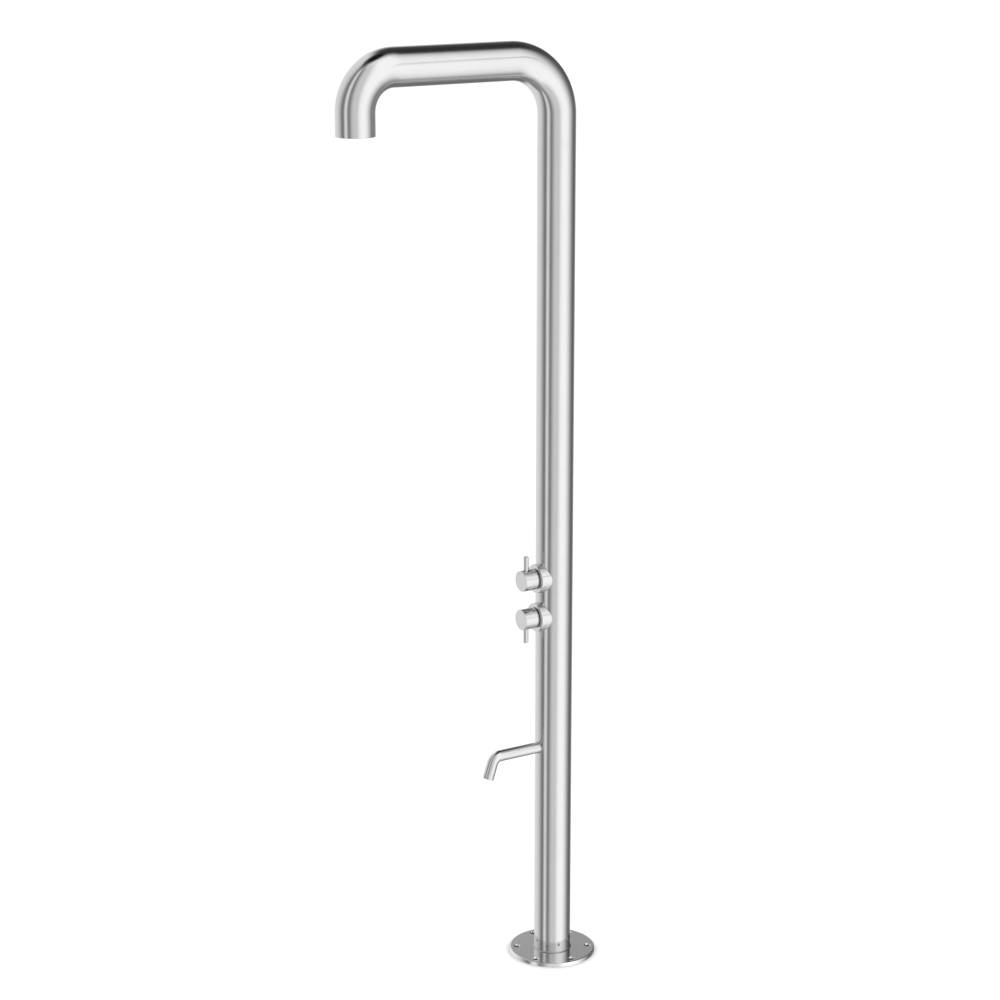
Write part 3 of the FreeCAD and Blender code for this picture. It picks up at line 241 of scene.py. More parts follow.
def wall_rings(stops, counts, outer, inner):
    """Distances and radii of a pipe's rings: along its outside, over its mouth and back inside.

    The mouth has a quarter circle at its outer edge and one at its inner edge. The stops are the
    distances where runs and bends meet, the last of them the mouth, and each count is the number
    of rings from one stop to the next.
    """
    turn = np.linspace(0, QUARTER_TURN, LIP_STEPS)
    lip = stops[-1] - LIP + LIP * np.concatenate([np.sin(turn), np.cos(turn)])
    lip_radii = [outer - LIP + LIP * np.cos(turn), inner + LIP - LIP * np.sin(turn)]
    ends = [*stops[:-1], lip[0]]
    stretches = [np.linspace(*span, count)[1:] for *span, count in zip(ends, ends[1:], counts)]
    along = np.concatenate([ends[:1], *stretches])[:-1]
    distances = np.concatenate([along, lip, along[::-1]])
    radii = [np.full(len(along), outer), *lip_radii, np.full(len(along), inner)]
    return distances, np.concatenate(radii)


# ---------------------------------------------------------------- colour and shader helpers


def colour(hex_code):
    """Turns an sRGB hex colour into linear red, green, blue and alpha."""
    shares = [int(hex_code[start : start + 2], 16) / 255 for start in (1, 3, 5)]
    return (*(s / 12.92 if s <= 0.04045 else ((s + 0.055) / 1.055) ** 2.4 for s in shares), 1.0)


def add(tree, kind, sockets=None, stops=None, **settings):
    """Adds a shader node with its settings and gives its first live output.

    A socket takes a value or a link, and stops are a ramp's (place, colour) pairs.
    """
    made = tree.nodes.new(f"ShaderNode{kind}")
    for name, setting in settings.items():
        setattr(made, name, setting)
    for name, source in (sockets or {}).items():
        live = [socket for socket in made.inputs if socket.enabled]
        if isinstance(name, int):
            socket = live[name]
        else:
            socket = next(socket for socket in live if socket.name == name)
        if isinstance(source, bpy.types.NodeSocket):
            tree.links.new(source, socket)
        else:
            socket.default_value = source
    for number, (place, shade) in enumerate(stops or []):
        elements = made.color_ramp.elements
        element = elements[number] if number < 2 else elements.new(place)
        element.position = place
        element.color = shade
    return next((output for output in made.outputs if output.enabled), None)


def start_material(name, base, roughness, metallic=0.0, **more):
    """Starts a material with plain values on its shader: gives it, its tree and its shader."""
    material = bpy.data.materials.new(name)
    material.use_nodes = True
    shader = material.node_tree.nodes["Principled BSDF"]
    shader.inputs["Base Color"].default_value = colour(base)
    shader.inputs["Roughness"].default_value = roughness
    shader.inputs["Metallic"].default_value = metallic
    for socket, setting in more.items():
        shader.inputs[socket.replace("_", " ")].default_value = setting
    return material, material.node_tree, shader


# ---------------------------------------------------------------- ways to lay a grain on a surface

# the attribute that holds where the tube's and the spout's points lie when pulled straight
STRAIGHT = "straightened"
# how far the direction round an axis shifts a turned pattern, in mm
TURN_SHARE = 0.6


def along_tube(tree):
    """Millimetres on the tube as if it had been pulled straight, the third along it."""
    flat = add(tree, "Attribute", attribute_name=STRAIGHT).node.outputs["Vector"]
    return add(tree, "VectorMath", {0: flat, "Scale": 1 / MM}, operation="SCALE")


def as_it_stands(tree):
    """Millimetres in the object's own place."""
    place = add(tree, "TexCoord").node.outputs["Object"]
    return add(tree, "VectorMath", {0: place, "Scale": 1 / MM}, operation="SCALE")


def about(centre, axis):
    """Millimetres on a turned piece: distance from its axis, level along it, and a little of the turn.

    The vector is (r, level, 0) + TURN_SHARE * the unit vector away from the axis, so a pattern on it
    makes rings that change slowly as they go round, and that meet where they began.
    """

    def place(tree):
        middle = [c / MM for c in centre]
        centred = add(tree, "VectorMath", {0: as_it_stands(tree), 1: middle}, operation="SUBTRACT")
        level = add(tree, "VectorMath", {0: centred, 1: axis}, operation="DOT_PRODUCT")
        across = [1.0 - share for share in axis]
        flat = add(tree, "VectorMath", {0: centred, 1: across}, operation="MULTIPLY")
        reach = add(tree, "VectorMath", {0: flat}, operation="LENGTH")
        away = add(tree, "VectorMath", {0: flat}, operation="NORMALIZE")
        little = add(tree, "VectorMath", {0: away, "Scale": TURN_SHARE}, operation="SCALE")
        rings_only = add(tree, "CombineXYZ", {"X": reach, "Y": level})
        return add(tree, "VectorMath", {0: rings_only, 1: little}, operation="ADD")

    return place


# ---------------------------------------------------------------- materials

STEEL = "#d0d0d0"
# the depth of a metal's scratches as a share of their width, and its colour where it is worn
SCRATCH_DEPTH = 0.025
WORN_SHARE = 0.965
# where the plate gets painted shade, in mm: by level down a bolt hole, within this distance from the
# axis
HOLE_SHADE_LEVELS = (8.2, 6.2)
HOLE_SHADE_REACH = 96.0
HOLE_SHADE_TONE = "#2a2a2a"
# where a knob gets painted shade, in mm: by distance from its lever's axis, beyond this level off its
# own
LEVER_SHADE_RING = (7.8, 6.6)
LEVER_SHADE_SIDE = 15.0
LEVER_SHADE_TONE = "#505050"


def metal(name, base, place, grain, rough, smudge=55.0, dull=0.06):
    """A bare metal: grain of the given widths in mm, laid by place, and faint handling marks.

    rough is the roughness between and in the scratches, smudge the size of the cloudy marks in mm,
    and dull is what the marks add to the roughness.
    """
    material, tree, shader = start_material(name, base, rough[0], 1.0)
    widths = [1 / width for width in grain]
    fine = add(tree, "VectorMath", {0: place(tree), 1: widths}, operation="MULTIPLY")
    noise = {"Vector": fine, "Scale": 1.0, "Detail": 3.0, "Roughness": 0.65}
    scratches = add(tree, "TexNoise", noise)
    wide = add(tree, "VectorMath", {0: as_it_stands(tree), "Scale": 1 / smudge}, operation="SCALE")
    noise = {"Vector": wide, "Scale": 1.0, "Detail": 4.0, "Roughness": 0.55}
    clouds = add(tree, "TexNoise", noise)
    span = {"From Min": 0.3, "From Max": 0.7, "To Min": rough[0], "To Max": rough[1]}
    grained = add(tree, "MapRange", {"Value": scratches, **span})
    span = {"From Min": 0.5, "From Max": 0.72, "To Min": 0.0, "To Max": dull}
    marked = add(tree, "MapRange", {"Value": clouds, **span})
    total = add(tree, "Math", {0: grained, 1: marked}, operation="ADD")
    tree.links.new(total, shader.inputs["Roughness"])
    pale = colour(base)
    deep = (*(WORN_SHARE * share for share in pale[:3]), 1.0)
    mixed = add(tree, "Mix", {"Factor": 0.5, "A": clouds, "B": scratches})
    tone = add(tree, "ValToRGB", {"Fac": mixed}, stops=[(0.4, pale), (0.7, deep)])
    tree.links.new(tone, shader.inputs["Base Color"])
    depth = SCRATCH_DEPTH * min(grain) * MM
    bumps = add(tree, "Bump", {"Height": scratches, "Strength": 1.0, "Distance": depth})
    tree.links.new(bumps, shader.inputs["Normal"])
    return material


def darken(material, share, dark):
    """Mixes a dark tone, painted shade, into a metal's own colour, by a share from 0 to 1."""
    tree = material.node_tree
    shader = tree.nodes["Principled BSDF"]
    tone = shader.inputs["Base Color"].links[0].from_socket
    mixed = add(tree, "Mix", {"Factor": share, "A": tone, "B": colour(dark)}, data_type="RGBA")
    tree.links.new(mixed, shader.inputs["Base Color"])


def from_upright(tree, place):
    """How far a place in mm is from the upright line through the origin, and its level."""
    level = add(tree, "SeparateXYZ", {0: place}).node.outputs["Z"]
    flat = add(tree, "VectorMath", {0: place, 1: (1.0, 1.0, 0.0)}, operation="MULTIPLY")
    return add(tree, "VectorMath", {0: flat}, operation="LENGTH"), level


def paint_hole_shade(material):
    """Paints shade on the plate down its bolt holes: inside its rim, only their walls lie below its
    top.
    """
    tree = material.node_tree
    reach, level = from_upright(tree, as_it_stands(tree))
    above, below = HOLE_SHADE_LEVELS
    deep = add(tree, "MapRange", {"Value": level, "From Min": above, "From Max": below})
    inside = add(tree, "Math", {0: reach, 1: HOLE_SHADE_REACH}, operation="LESS_THAN")
    # painted shade down the bolt holes
    darken(material, add(tree, "Math", {0: deep, 1: inside}, operation="MULTIPLY"), HOLE_SHADE_TONE)


def paint_lever_shade(material, height, side):
    """Paints shade on the knob in a thin ring round its lever's root, on the side of the knob that
    carries it.
    """
    tree = material.node_tree
    middle = (0, LEVER_LEVEL / MM, height / MM)
    centred = add(tree, "VectorMath", {0: as_it_stands(tree), 1: middle}, operation="SUBTRACT")
    reach, level = from_upright(tree, centred)
    outer, inner = LEVER_SHADE_RING
    near = add(tree, "MapRange", {"Value": reach, "From Min": outer, "From Max": inner})
    outward = add(tree, "Math", {0: level, 1: side}, operation="MULTIPLY")
    facing = add(tree, "Math", {0: outward, 1: LEVER_SHADE_SIDE}, operation="GREATER_THAN")
    darken(material, add(tree, "Math", {0: near, 1: facing}, operation="MULTIPLY"), LEVER_SHADE_TONE)


def moulded(name, base, second, roughness, size, depth, kind="TexNoise", squeeze=(1, 1, 1), **more):
    """A moulded, cut or extruded soft material: a bumpy skin in two tones, its size and depth in mm."""
    material, tree, shader = start_material(name, base, roughness, **more)
    sized = [share / size for share in squeeze]
    place = add(tree, "VectorMath", {0: as_it_stands(tree), 1: sized}, operation="MULTIPLY")
    grain = add(tree, kind, {"Vector": place, "Scale": 1.0})
    tones = [(0.3, colour(base)), (0.8, colour(second))]
    tone = add(tree, "ValToRGB", {"Fac": grain}, stops=tones)
    tree.links.new(tone, shader.inputs["Base Color"])
    bumps = add(tree, "Bump", {"Height": grain, "Strength": 1.0, "Distance": depth * MM})
    tree.links.new(bumps, shader.inputs["Normal"])
    return material


# lathe rings: 0.1 mm feed, drawn at 0.9 mm so that they show
TURNED = (0.9, 0.9, 0.9)
ACROSS, UPRIGHT = (0, 1, 0), (0, 0, 1)

# 304 stainless tube, ground along its length with a fine belt and then brushed: clear reflections
# with soft edges, and hair lines that follow the bends. The lines are drawn 1.2 mm wide, since the
# real ones of 0.05 mm would not show.
TUBE = metal(
    "satin_ground_stainless_tube", STEEL, along_tube, (1.2, 1.2, 70.0), (0.10, 0.17), dull=0.03
)
# 304 stainless plate, laser cut from sheet that was ground one way and polished: it mirrors the post
# softly. Its bolt holes get painted shade: the lower half of each countersink and the walls below.
PLATE = metal(
    "ground_stainless_plate", "#e0e0e0", as_it_stands, (40.0, 0.8, 0.8), (0.10, 0.15), dull=0.05
)
# painted shade down the bolt holes
paint_hole_shade(PLATE)
# stainless bar, faced and turned on a lathe: rings round each piece's own axis
COLLARS, KNOBS = (
    {
        side: metal(f"{name}_{side}", base, about((0, 0, height), ACROSS), TURNED, rough)
        for side, height in KNOB_HEIGHTS.items()
    }
    for name, base, rough in [
        ("polished_stainless_collar", "#d2d2d2", (0.10, 0.16)),
        ("fine_turned_stainless_knob", STEEL, (0.13, 0.20)),
    ]
)
# painted shade in a ring round each lever's root
for side, way in [("upper", 1.0), ("lower", -1.0)]:
    paint_lever_shade(KNOBS[side], KNOB_HEIGHTS[side], way)
ON_LEVER = about((0, LEVER_LEVEL, 0), UPRIGHT)
LEVER = metal("turned_stainless_lever", STEEL, ON_LEVER, TURNED, (0.12, 0.18))
# stainless weld, dressed with a small belt: duller than the tube, its ripple left in
WELD = metal(
    "dressed_stainless_weld", "#b4b4b4", as_it_stands, (0.8, 0.8, 0.8), (0.24, 0.34), smudge=9.0
)
# spray disc of thin stainless sheet, brushed in circles
ON_SPRAY = about((0, -ARM_REACH, 0), UPRIGHT)
SPRAY = metal("circular_brushed_spray_disc", STEEL, ON_SPRAY, TURNED, (0.16, 0.26))
# A2 stainless screws, nuts and rings: tumbled, plain
HARDWARE = metal(
    "tumbled_stainless_hardware", "#bebebe", as_it_stands, (0.6, 0.6, 0.6), (0.22, 0.32), smudge=6.0
)
# drawn stainless pipe: faint lines along it
PIPE = metal("drawn_stainless_pipe", "#c2c2c2", as_it_stands, (0.5, 0.5, 45.0), (0.20, 0.30))
# free-cutting brass, machined and left bare: warm, with fine tool marks
BRASS = metal("machined_brass", "#c9a75f", as_it_stands, (0.5, 0.5, 0.5), (0.20, 0.32), smudge=12.0)
# EPDM rubber, compression moulded: matt black with a dusty bloom
RUBBER = moulded("moulded_epdm_rubber", "#141414", "#232323", 0.62, 0.9, 0.02)
# liquid silicone: soft grey, slightly see-through, smooth
SILICONE = moulded(
    "moulded_grey_silicone", "#9a9c9d", "#a9abac", 0.42, 1.2, 0.01, Subsurface_Weight=0.15
)
# alumina valve discs, fired and lapped: ivory white, glossy, with a fine speckle
ALUMINA = moulded("lapped_alumina_ceramic", "#efece4", "#e2ded4", 0.18, 0.5, 0.001)
# acetal, injection moulded: off white, satin
ACETAL = moulded("moulded_white_acetal", "#dfdfdb", "#d3d3cf", 0.36, 0.7, 0.006)
# cross-linked polyethylene hose, extruded: blue grey, waxy, with lines along it
HOSE = moulded(
    "extruded_polyethylene_hose", "#4c6a93", "#587aa5", 0.38, 1.0, 0.01, squeeze=(1, 1, 0.02)
)
# polyethylene foam, cut: dark grey open cells of about 1.5 mm
FOAM = moulded("cut_polyethylene_foam", "#3d3e40", "#5a5b5d", 0.85, 1.5, 0.4, kind="TexVoronoi")

SLOTS = {
    "turned_stainless": LEVER,
    "satin_stainless": TUBE,
    "machined_brass": BRASS,
    "stainless_hardware": HARDWARE,
    "stainless_pipe": PIPE,
    "spray_plate_steel": SPRAY,
    "black_rubber": RUBBER,
    "silicone": SILICONE,
    "alumina_ceramic": ALUMINA,
    "white_plastic": ACETAL,
    "hose_plastic": HOSE,
    "grey_foam": FOAM,
}


def dress_nodes():
    """Gives every CAD node its slot's material, and the plate, collars and knobs one of their own."""
    for name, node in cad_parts.items():
        material = SLOTS[node.data.materials[0].name.split(".")[0]]
        side = name.split("_")[0]
        if name == "base_flange":
            material = PLATE
        elif name.endswith("_collar"):
            material = COLLARS[side]
        elif name.endswith("_knob"):
            material = KNOBS[side]
        node.data.materials.clear()
        node.data.materials.append(material)


# ---------------------------------------------------------------- the post's tube


def straightened(points):
    """Where points of the post would lie if its two bends were pulled straight.

    Near a bend, the distance from the bend's own centre less its radius takes the place of the
    distance across the tube, and the angle times the radius the place of the distance along it.
    """
    x, y, z = points.T
    over, before = z - (ARM_HEIGHT - MAIN_BEND), y + MAIN_BEND
    up, back = np.maximum(over, 0), np.maximum(before, 0)
    main_side = np.hypot(up, back) - MAIN_BEND
    main_turn = MAIN_BEND * np.arctan2(up, back)
    main_along = np.minimum(over, 0) + main_turn + np.maximum(-before, 0)
    high, beyond = z - (ARM_HEIGHT - OUTLET_BEND), -(ARM_REACH - OUTLET_BEND) - y
    rise, front = np.maximum(high, 0), np.maximum(beyond, 0)
    end_side = np.hypot(rise, front) - OUTLET_BEND
    end_turn = OUTLET_BEND * np.arctan2(front, rise)
    end_along = np.minimum(beyond, 0) + end_turn + np.maximum(-high, 0)
    arm = ARM_REACH - OUTLET_BEND - MAIN_BEND + MAIN_BEND * QUARTER_TURN
    far = y < -ARM_REACH / 2
    side = np.where(far, end_side, main_side)
    return np.stack([x, side, np.where(far, end_along + arm, main_along)], -1)


def write_straight(mesh, places):
    """Keeps the pulled-straight places on the mesh, for the grain."""
    kept = mesh.attributes.new(STRAIGHT, "FLOAT_VECTOR", "POINT")
    kept.data.foreach_set("vector", places.ravel())


def rod(radius, height, start, end, columns=48):
    """A closed cylinder along Y, at a height and from start to end: rings with a pole at each end."""
    reach = end - start
    grid = turned_rings([(0, 0), (radius, 0), (radius, reach), (0, reach)], columns)
    x, y, z = grid.reshape(-1, 3).T
    return np.stack([x, z + start, height - y], -1), net(4, columns, False)


def cut_out(piece_to_cut, shapes):
    """Cuts closed surfaces, each as its points and faces, out of a piece."""
    cutter = surface("cutter", *joined(shapes), piece_to_cut.data.materials[0])
    cut = piece_to_cut.modifiers.new("holes", "BOOLEAN")
    cut.object = cutter
    cut.operation = "DIFFERENCE"
    cut.solver = "EXACT"
    bpy.context.view_layer.update()
    result = piece_to_cut.evaluated_get(bpy.context.evaluated_depsgraph_get())
    mesh = bpy.data.meshes.new_from_object(result)
    close_up(mesh)
    mesh.set_sharp_from_angle(angle=SHARP_ANGLE)
    piece_to_cut.data = mesh
    piece_to_cut.modifiers.clear()
    bpy.data.objects.remove(cutter)


def make_tube():
    """The bent tube with its wall and mouth, and the holes for valves, spout and set screw."""
    columns = 112
    route = [
        (0, PLATE_TOP), (0, ARM_HEIGHT), (-ARM_REACH, ARM_HEIGHT), (-ARM_REACH, OUTLET_HEIGHT)
    ]
    line, length = bent_line(route, [MAIN_BEND, OUTLET_BEND])
    main_start = ARM_HEIGHT - MAIN_BEND - PLATE_TOP
    main_end = main_start + MAIN_BEND * QUARTER_TURN
    outlet_start = main_end + ARM_REACH - MAIN_BEND - OUTLET_BEND
    outlet_end = outlet_start + OUTLET_BEND * QUARTER_TURN
    stops = [0, main_start, main_end, outlet_start, outlet_end, length]
    counts = [60, 40, 12, 34, 5]
    distances, radii = wall_rings(stops, counts, TUBE_RADIUS, TUBE_RADIUS - TUBE_WALL)
    points = rings(line, distances, radii, columns).reshape(-1, 3)
    faces = net(len(distances), columns, True)
    tube = piece("post_tube_shell", points, faces, TUBE, "satin_stainless")
    holes = [rod(NECK_HOLE, height, *FRONT_CUT) for height in KNOB_HEIGHTS.values()]
    holes.append(rod(TAIL_HOLE, SPOUT_HEIGHT, *FRONT_CUT))
    holes.append(rod(SET_SCREW_HOLE, SET_SCREW_HEIGHT, *OUTLET_CUT))
    cut_out(tube, holes)
    places = np.empty(len(tube.data.vertices) * 3)
    tube.data.vertices.foreach_get("co", places)
    write_straight(tube.data, straightened(places.reshape(-1, 3)))
    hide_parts("post_tube")


# ---------------------------------------------------------------- the base plate


def make_plate():
    """The round base plate with its rounded top edge, the inlet's stepped hole and the bolt holes.

    The profile is carried round Z, and its top edge goes by sin t and cos t over a quarter turn.
    """
    columns, hole_columns = 240, 48
    turn = np.linspace(0, QUARTER_TURN, 9)
    rim = PLATE_RADIUS - PLATE_EDGE + PLATE_EDGE * np.cos(turn)
    level = PLATE_TOP - PLATE_EDGE + PLATE_EDGE * np.sin(turn)
    profile = [
        (RECESS_RADIUS, 0),
        (PLATE_RADIUS - PLATE_BEVEL - HOLD, 0),
        (PLATE_RADIUS - PLATE_BEVEL, 0),
        (PLATE_RADIUS, PLATE_BEVEL),
        (PLATE_RADIUS, PLATE_BEVEL + HOLD),
        (PLATE_RADIUS, level[0] - HOLD),
        *zip(rim, level),
        (rim[-1] - HOLD, PLATE_TOP),
        (INLET_HOLE, PLATE_TOP),
        (INLET_HOLE, RECESS_DEPTH),
        (RECESS_RADIUS, RECESS_DEPTH),
    ]
    points = turned_rings(profile, columns).reshape(-1, 3)
    faces = net(len(profile), columns, True)
    plate = piece("base_plate_shell", points, faces, PLATE, "satin_stainless")
    hole = [
        (0, -CUT_OVER),
        (BOLT_HOLE, -CUT_OVER),
        (BOLT_HOLE, PLATE_TOP - BOLT_HEAD + BOLT_HOLE),
        (BOLT_HEAD + CUT_OVER, PLATE_TOP + CUT_OVER),
        (0, PLATE_TOP + CUT_OVER),
    ]
    points = turned_rings(hole, hole_columns).reshape(-1, 3)
    faces = net(len(hole), hole_columns, False)
    holes = []
    for number in range(BOLT_COUNT):
        turn = math.radians(360 / BOLT_COUNT * number)
        middle = [BOLT_CIRCLE * math.cos(turn), BOLT_CIRCLE * math.sin(turn), 0]
        holes.append((points + middle, faces))
    cut_out(plate, holes)
    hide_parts("base_flange")


def make_foot_weld():
    """The dressed fillet weld round the post's foot, a hollow quarter circle with a faint ripple.

    The radius beyond the tube is leg * (1 - sin t), the height leg * (1 - cos t), and the ripple
    adds a part that goes up and down round the post.
    """
    columns, steps = 240, 9
    t = np.linspace(0, QUARTER_TURN, steps)
    floor_level = PLATE_TOP + WELD_GAP
    reach = TUBE_RADIUS + FOOT_WELD_LEG * (1 - np.sin(t))
    level = floor_level + FOOT_WELD_LEG * (1 - np.cos(t))
    profile = [(TUBE_RADIUS - WELD_OVERLAP, floor_level), *zip(reach, level)]
    grid = turned_rings(profile, columns)
    turn = np.linspace(0, FULL_TURN, columns, endpoint=False)
    ripple = RIPPLE_HEIGHT * np.sin(RIPPLE_COUNT * turn + PACE_SHIFT * np.sin(PACE_COUNT * turn))
    bulge = np.sin(np.concatenate([[0], 2 * t]))[:, None] * ripple[None]
    way = np.stack([np.cos(turn), np.sin(turn)], -1)
    grid[..., :2] += bulge[..., None] * way[None]
    faces = net(len(profile), columns, True)
    piece("foot_weld", grid.reshape(-1, 3), faces, WELD, "satin_stainless")


# ---------------------------------------------------------------- the foot spout


def on_post(x):
    """How far before the post's axis its surface lies: the root of radius squared less x squared."""
    return np.sqrt((TUBE_RADIUS + SADDLE_GAP) ** 2 - x**2)


def make_spout():
    """The bent spout with its wall, rounded mouth, root cut to the post, and tail inside the post."""
    columns = 72
    tip = (
        -(SPOUT_REACH + SPOUT_DROP * math.cos(SPOUT_ANGLE)),
        SPOUT_HEIGHT - SPOUT_DROP * math.sin(SPOUT_ANGLE),
    )
    route = [(-SPOUT_START, SPOUT_HEIGHT), (-SPOUT_REACH, SPOUT_HEIGHT), tip]
    line, length = bent_line(route, [SPOUT_BEND])
    bend_start = SPOUT_REACH - SPOUT_START - SPOUT_BEND * math.tan(SPOUT_ANGLE / 2)
    bend_end = bend_start + SPOUT_BEND * SPOUT_ANGLE
    stops = [0, bend_start, bend_end, length]
    counts = [8, 26, 6]
    distances, radii = wall_rings(stops, counts, SPOUT_RADIUS, SPOUT_RADIUS - SPOUT_WALL)
    grid = rings(line, distances, radii, columns)
    pulled = turned_rings(np.stack([radii, distances], -1), columns)

    # from the bore's back end out through the tail to the saddle, where None is the post's face
    tail = [
        (TAIL_BORE, -SPOUT_START + BORE_STEP),
        (TAIL_BORE, -TAIL_END),
        (TAIL_RADIUS, -TAIL_END),
        (TAIL_RADIUS, None),
        (SPOUT_RADIUS, None),
    ]
    angle = np.linspace(0, FULL_TURN, columns, endpoint=False)
    rows = []
    for radius, level in tail:
        x, z = radius * np.cos(angle), radius * np.sin(angle)
        y = -on_post(x) if level is None else np.full(columns, level)
        rows.append(np.stack([x, y, SPOUT_HEIGHT + z], -1))
    root = np.stack(rows)
    root_pulled = (root - [0, -SPOUT_START, SPOUT_HEIGHT])[..., [0, 2, 1]] * [1, 1, -1]
    whole = np.concatenate([grid, root])
    faces = net(len(whole), columns, True)
    spout = piece("foot_spout_shell", whole.reshape(-1, 3), faces, TUBE, "satin_stainless")
    write_straight(spout.data, np.concatenate([pulled, root_pulled]).reshape(-1, 3))
    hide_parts("foot_spout")


def make_spout_weld():
    """The small fillet round the spout's root: a hollow quarter circle between spout and post.

    At share t the ring's radius is the spout's plus leg * (1 - sin t), and it stands
    leg * (1 - cos t) off the post.
    """
    columns, steps = 96, 7
    t = np.linspace(0, QUARTER_TURN, steps)
    angle = np.linspace(0, FULL_TURN, columns, endpoint=False)
    reach = SPOUT_RADIUS + SPOUT_WELD_LEG * (1 - np.sin(t))
    radius = np.concatenate([[SPOUT_RADIUS - WELD_OVERLAP], reach])
    off = np.concatenate([[0], SPOUT_WELD_LEG * (1 - np.cos(t))])
    x, z = np.outer(radius, np.cos(angle)), np.outer(radius, np.sin(angle))
    y = -(on_post(x) + off[:, None])
    grid = np.stack([x, y, SPOUT_HEIGHT + z], -1)
    faces = net(len(grid), columns, True)
    piece("spout_root_weld", grid.reshape(-1, 3), faces, WELD, "satin_stainless")


# ---------------------------------------------------------------- screws


def socket_screw(profile, flats, depth, columns=48):
    """A turned screw about Z, its face at level 0, with a hexagon socket across the given flats.

    The socket's radius at angle a is flats / 2 over the cosine of a's distance from the nearest
    flat, and its floor is a shallow cone.
    """
    shell = turned_rings(np.array(profile, float) * MM, columns)
    angle = np.linspace(0, FULL_TURN, columns, endpoint=False)
    side = FULL_TURN / 6
    from_flat = (angle + side / 2) % side - side / 2
    hexagon = flats / 2 / np.cos(from_flat)
    rows = []
    for share, level in [(1.0, 0.0), (1.0, -depth), (0.0, -depth - flats * SOCKET_CONE)]:
        x, y = share * hexagon * np.cos(angle), share * hexagon * np.sin(angle)
        rows.append(np.stack([x, y, np.full(columns, level)], -1))
    grid = np.concatenate([shell, np.stack(rows)])
    return grid.reshape(-1, 3), net(len(grid), columns, False)


def make_screws():
    """The countersunk screws of the spray disc and the set screw behind the outlet, with sockets."""
    points, faces = socket_screw(DISC_SCREW, *DISC_SOCKET)
    x, y, z = points.T
    screws = []
    for number in range(SCREW_COUNT):
        turn = math.radians(360 * number / SCREW_COUNT - 90)
        middle = (SCREW_CIRCLE * math.cos(turn), SCREW_CIRCLE * math.sin(turn) - ARM_REACH)
        screws.append((np.stack([x + middle[0], middle[1] - y, SPRAY_FACE - z], -1), faces))
    made = piece("spray_disc_screws", *joined(screws), HARDWARE, "stainless_hardware")
    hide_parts("plate_screws")

    points, faces = socket_screw(SET_SCREW, *SET_SOCKET)
    x, y, z = points.T
    face = TUBE_RADIUS - SET_SCREW_SINK - ARM_REACH
    points = np.stack([x, face + z, SET_SCREW_HEIGHT - y], -1)
    made = piece("outlet_set_screw", points, faces, HARDWARE, "stainless_hardware")
    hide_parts("head_set_screw")


# ---------------------------------------------------------------- studio

CAMERA_PLACE = (4.7943, -3.1186, 2.6735)
CAMERA_LOOK = (-0.8220, 0.5086, -0.2564)
FOCAL_PIXELS = 2493.91
IMAGE_PIXELS = 1000
SENSOR = 36.0
# the bearing of the camera from the post, from +X towards +Y
FACING = math.atan2(-CAMERA_LOOK[1], -CAMERA_LOOK[0])

# The studio that polished steel mirrors: upright panels all round the post, as the grey that steel
# takes on from them, by bearing from the camera's side towards its right hand, in degrees.
PANELS = [
    (-180, 168), (-160, 210), (-115, 208), (-100, 192), (-86, 156), (-74, 112), (-66, 112),
    (-58, 192), (-51, 220), (-44, 190), (-36, 120), (-29, 122), (-20, 166), (-8, 196), (15, 198),
    (26, 230), (38, 244), (62, 244), (76, 223), (90, 186), (105, 134), (120, 92), (135, 98),
    (155, 146), (180, 168),
]
# cloths hung behind, and the last two laid on the floor: bearing and height in degrees, the dot
# products where each begins and where it is full, and its grey
CLOTHS = [
    (146, 18, 0.92, 0.975, 80),
    (155, 50, 0.80, 0.94, 62),
    (145, 60, 0.94, 0.985, 42),
    (140, -55, 0.84, 0.97, 150),
    (160, -42, 0.906, 0.966, 106),
]
LAMP_CORE = (-100, 88, 0.966, 0.988, 8)
# the dark lamp frame and bright cloth overhead, along X, and the ground towards the window: shares
# of the way and greys, the parts of a direction where the way begins and ends, and the heights
# where each begins and where it is full
ROOF = [(0.0, 12), (0.25, 40), (0.42, 90), (0.55, 165), (0.7, 215), (1.0, 235)]
ROOF_WAY = (-0.4, 0.6)
ROOF_EDGE = (0.86, 0.95)
GROUND = [(0.0, 122), (0.5, 140), (0.75, 165), (0.9, 215), (1.0, 220)]
GROUND_WAY = (-0.4, 0.4)
GROUND_EDGE = (-0.84, -0.93)
TO_WINDOW = (0.95, 0.31, 0.0)
# the ceiling batten that the arm mirrors as a fine line: height by slope and level along Y, up and
# down, the patch that holds it with its grey, where it fades along Y, and its edges' distances
BATTEN = [(1.6, -0.49), (-0.42, 0.583)]
BATTEN_CLOTH = (65, 22, 0.75, 0.9, 158)
BATTEN_ENDS = [(0.40, 0.47), (0.74, 0.64)]
BATTEN_EDGE = (0.045, 0.018)
# what a matt surface is lit by from all sides
EVEN_LIGHT = (0.85, 0.85, 0.85, 1.0)
WHITE = (1.0, 1.0, 1.0, 1.0)
FLOOR_REACH = 60.0
FLOOR_TONE = "#e9e9e9"
SHADE_UNDER_PLATE = "#1c1c1c"
FLOOR_GLOW = 0.4
# the distances from the axis where the floor's painted shade under the plate ends and its glow is full;
# between them the glow fades in, a faint painted shade round the plate
FLOOR_SHADE_EDGE = (PLATE_RADIUS - 4 * MM, PLATE_RADIUS + 12 * MM)


def grey(level):
    """The light that the steel has to mirror to take on a grey of 0 to 255, as a colour."""
    share = colour("#" + f"{round(level):02x}" * 3)[0] / colour(STEEL)[0]
    return (share, share, share, 1.0)


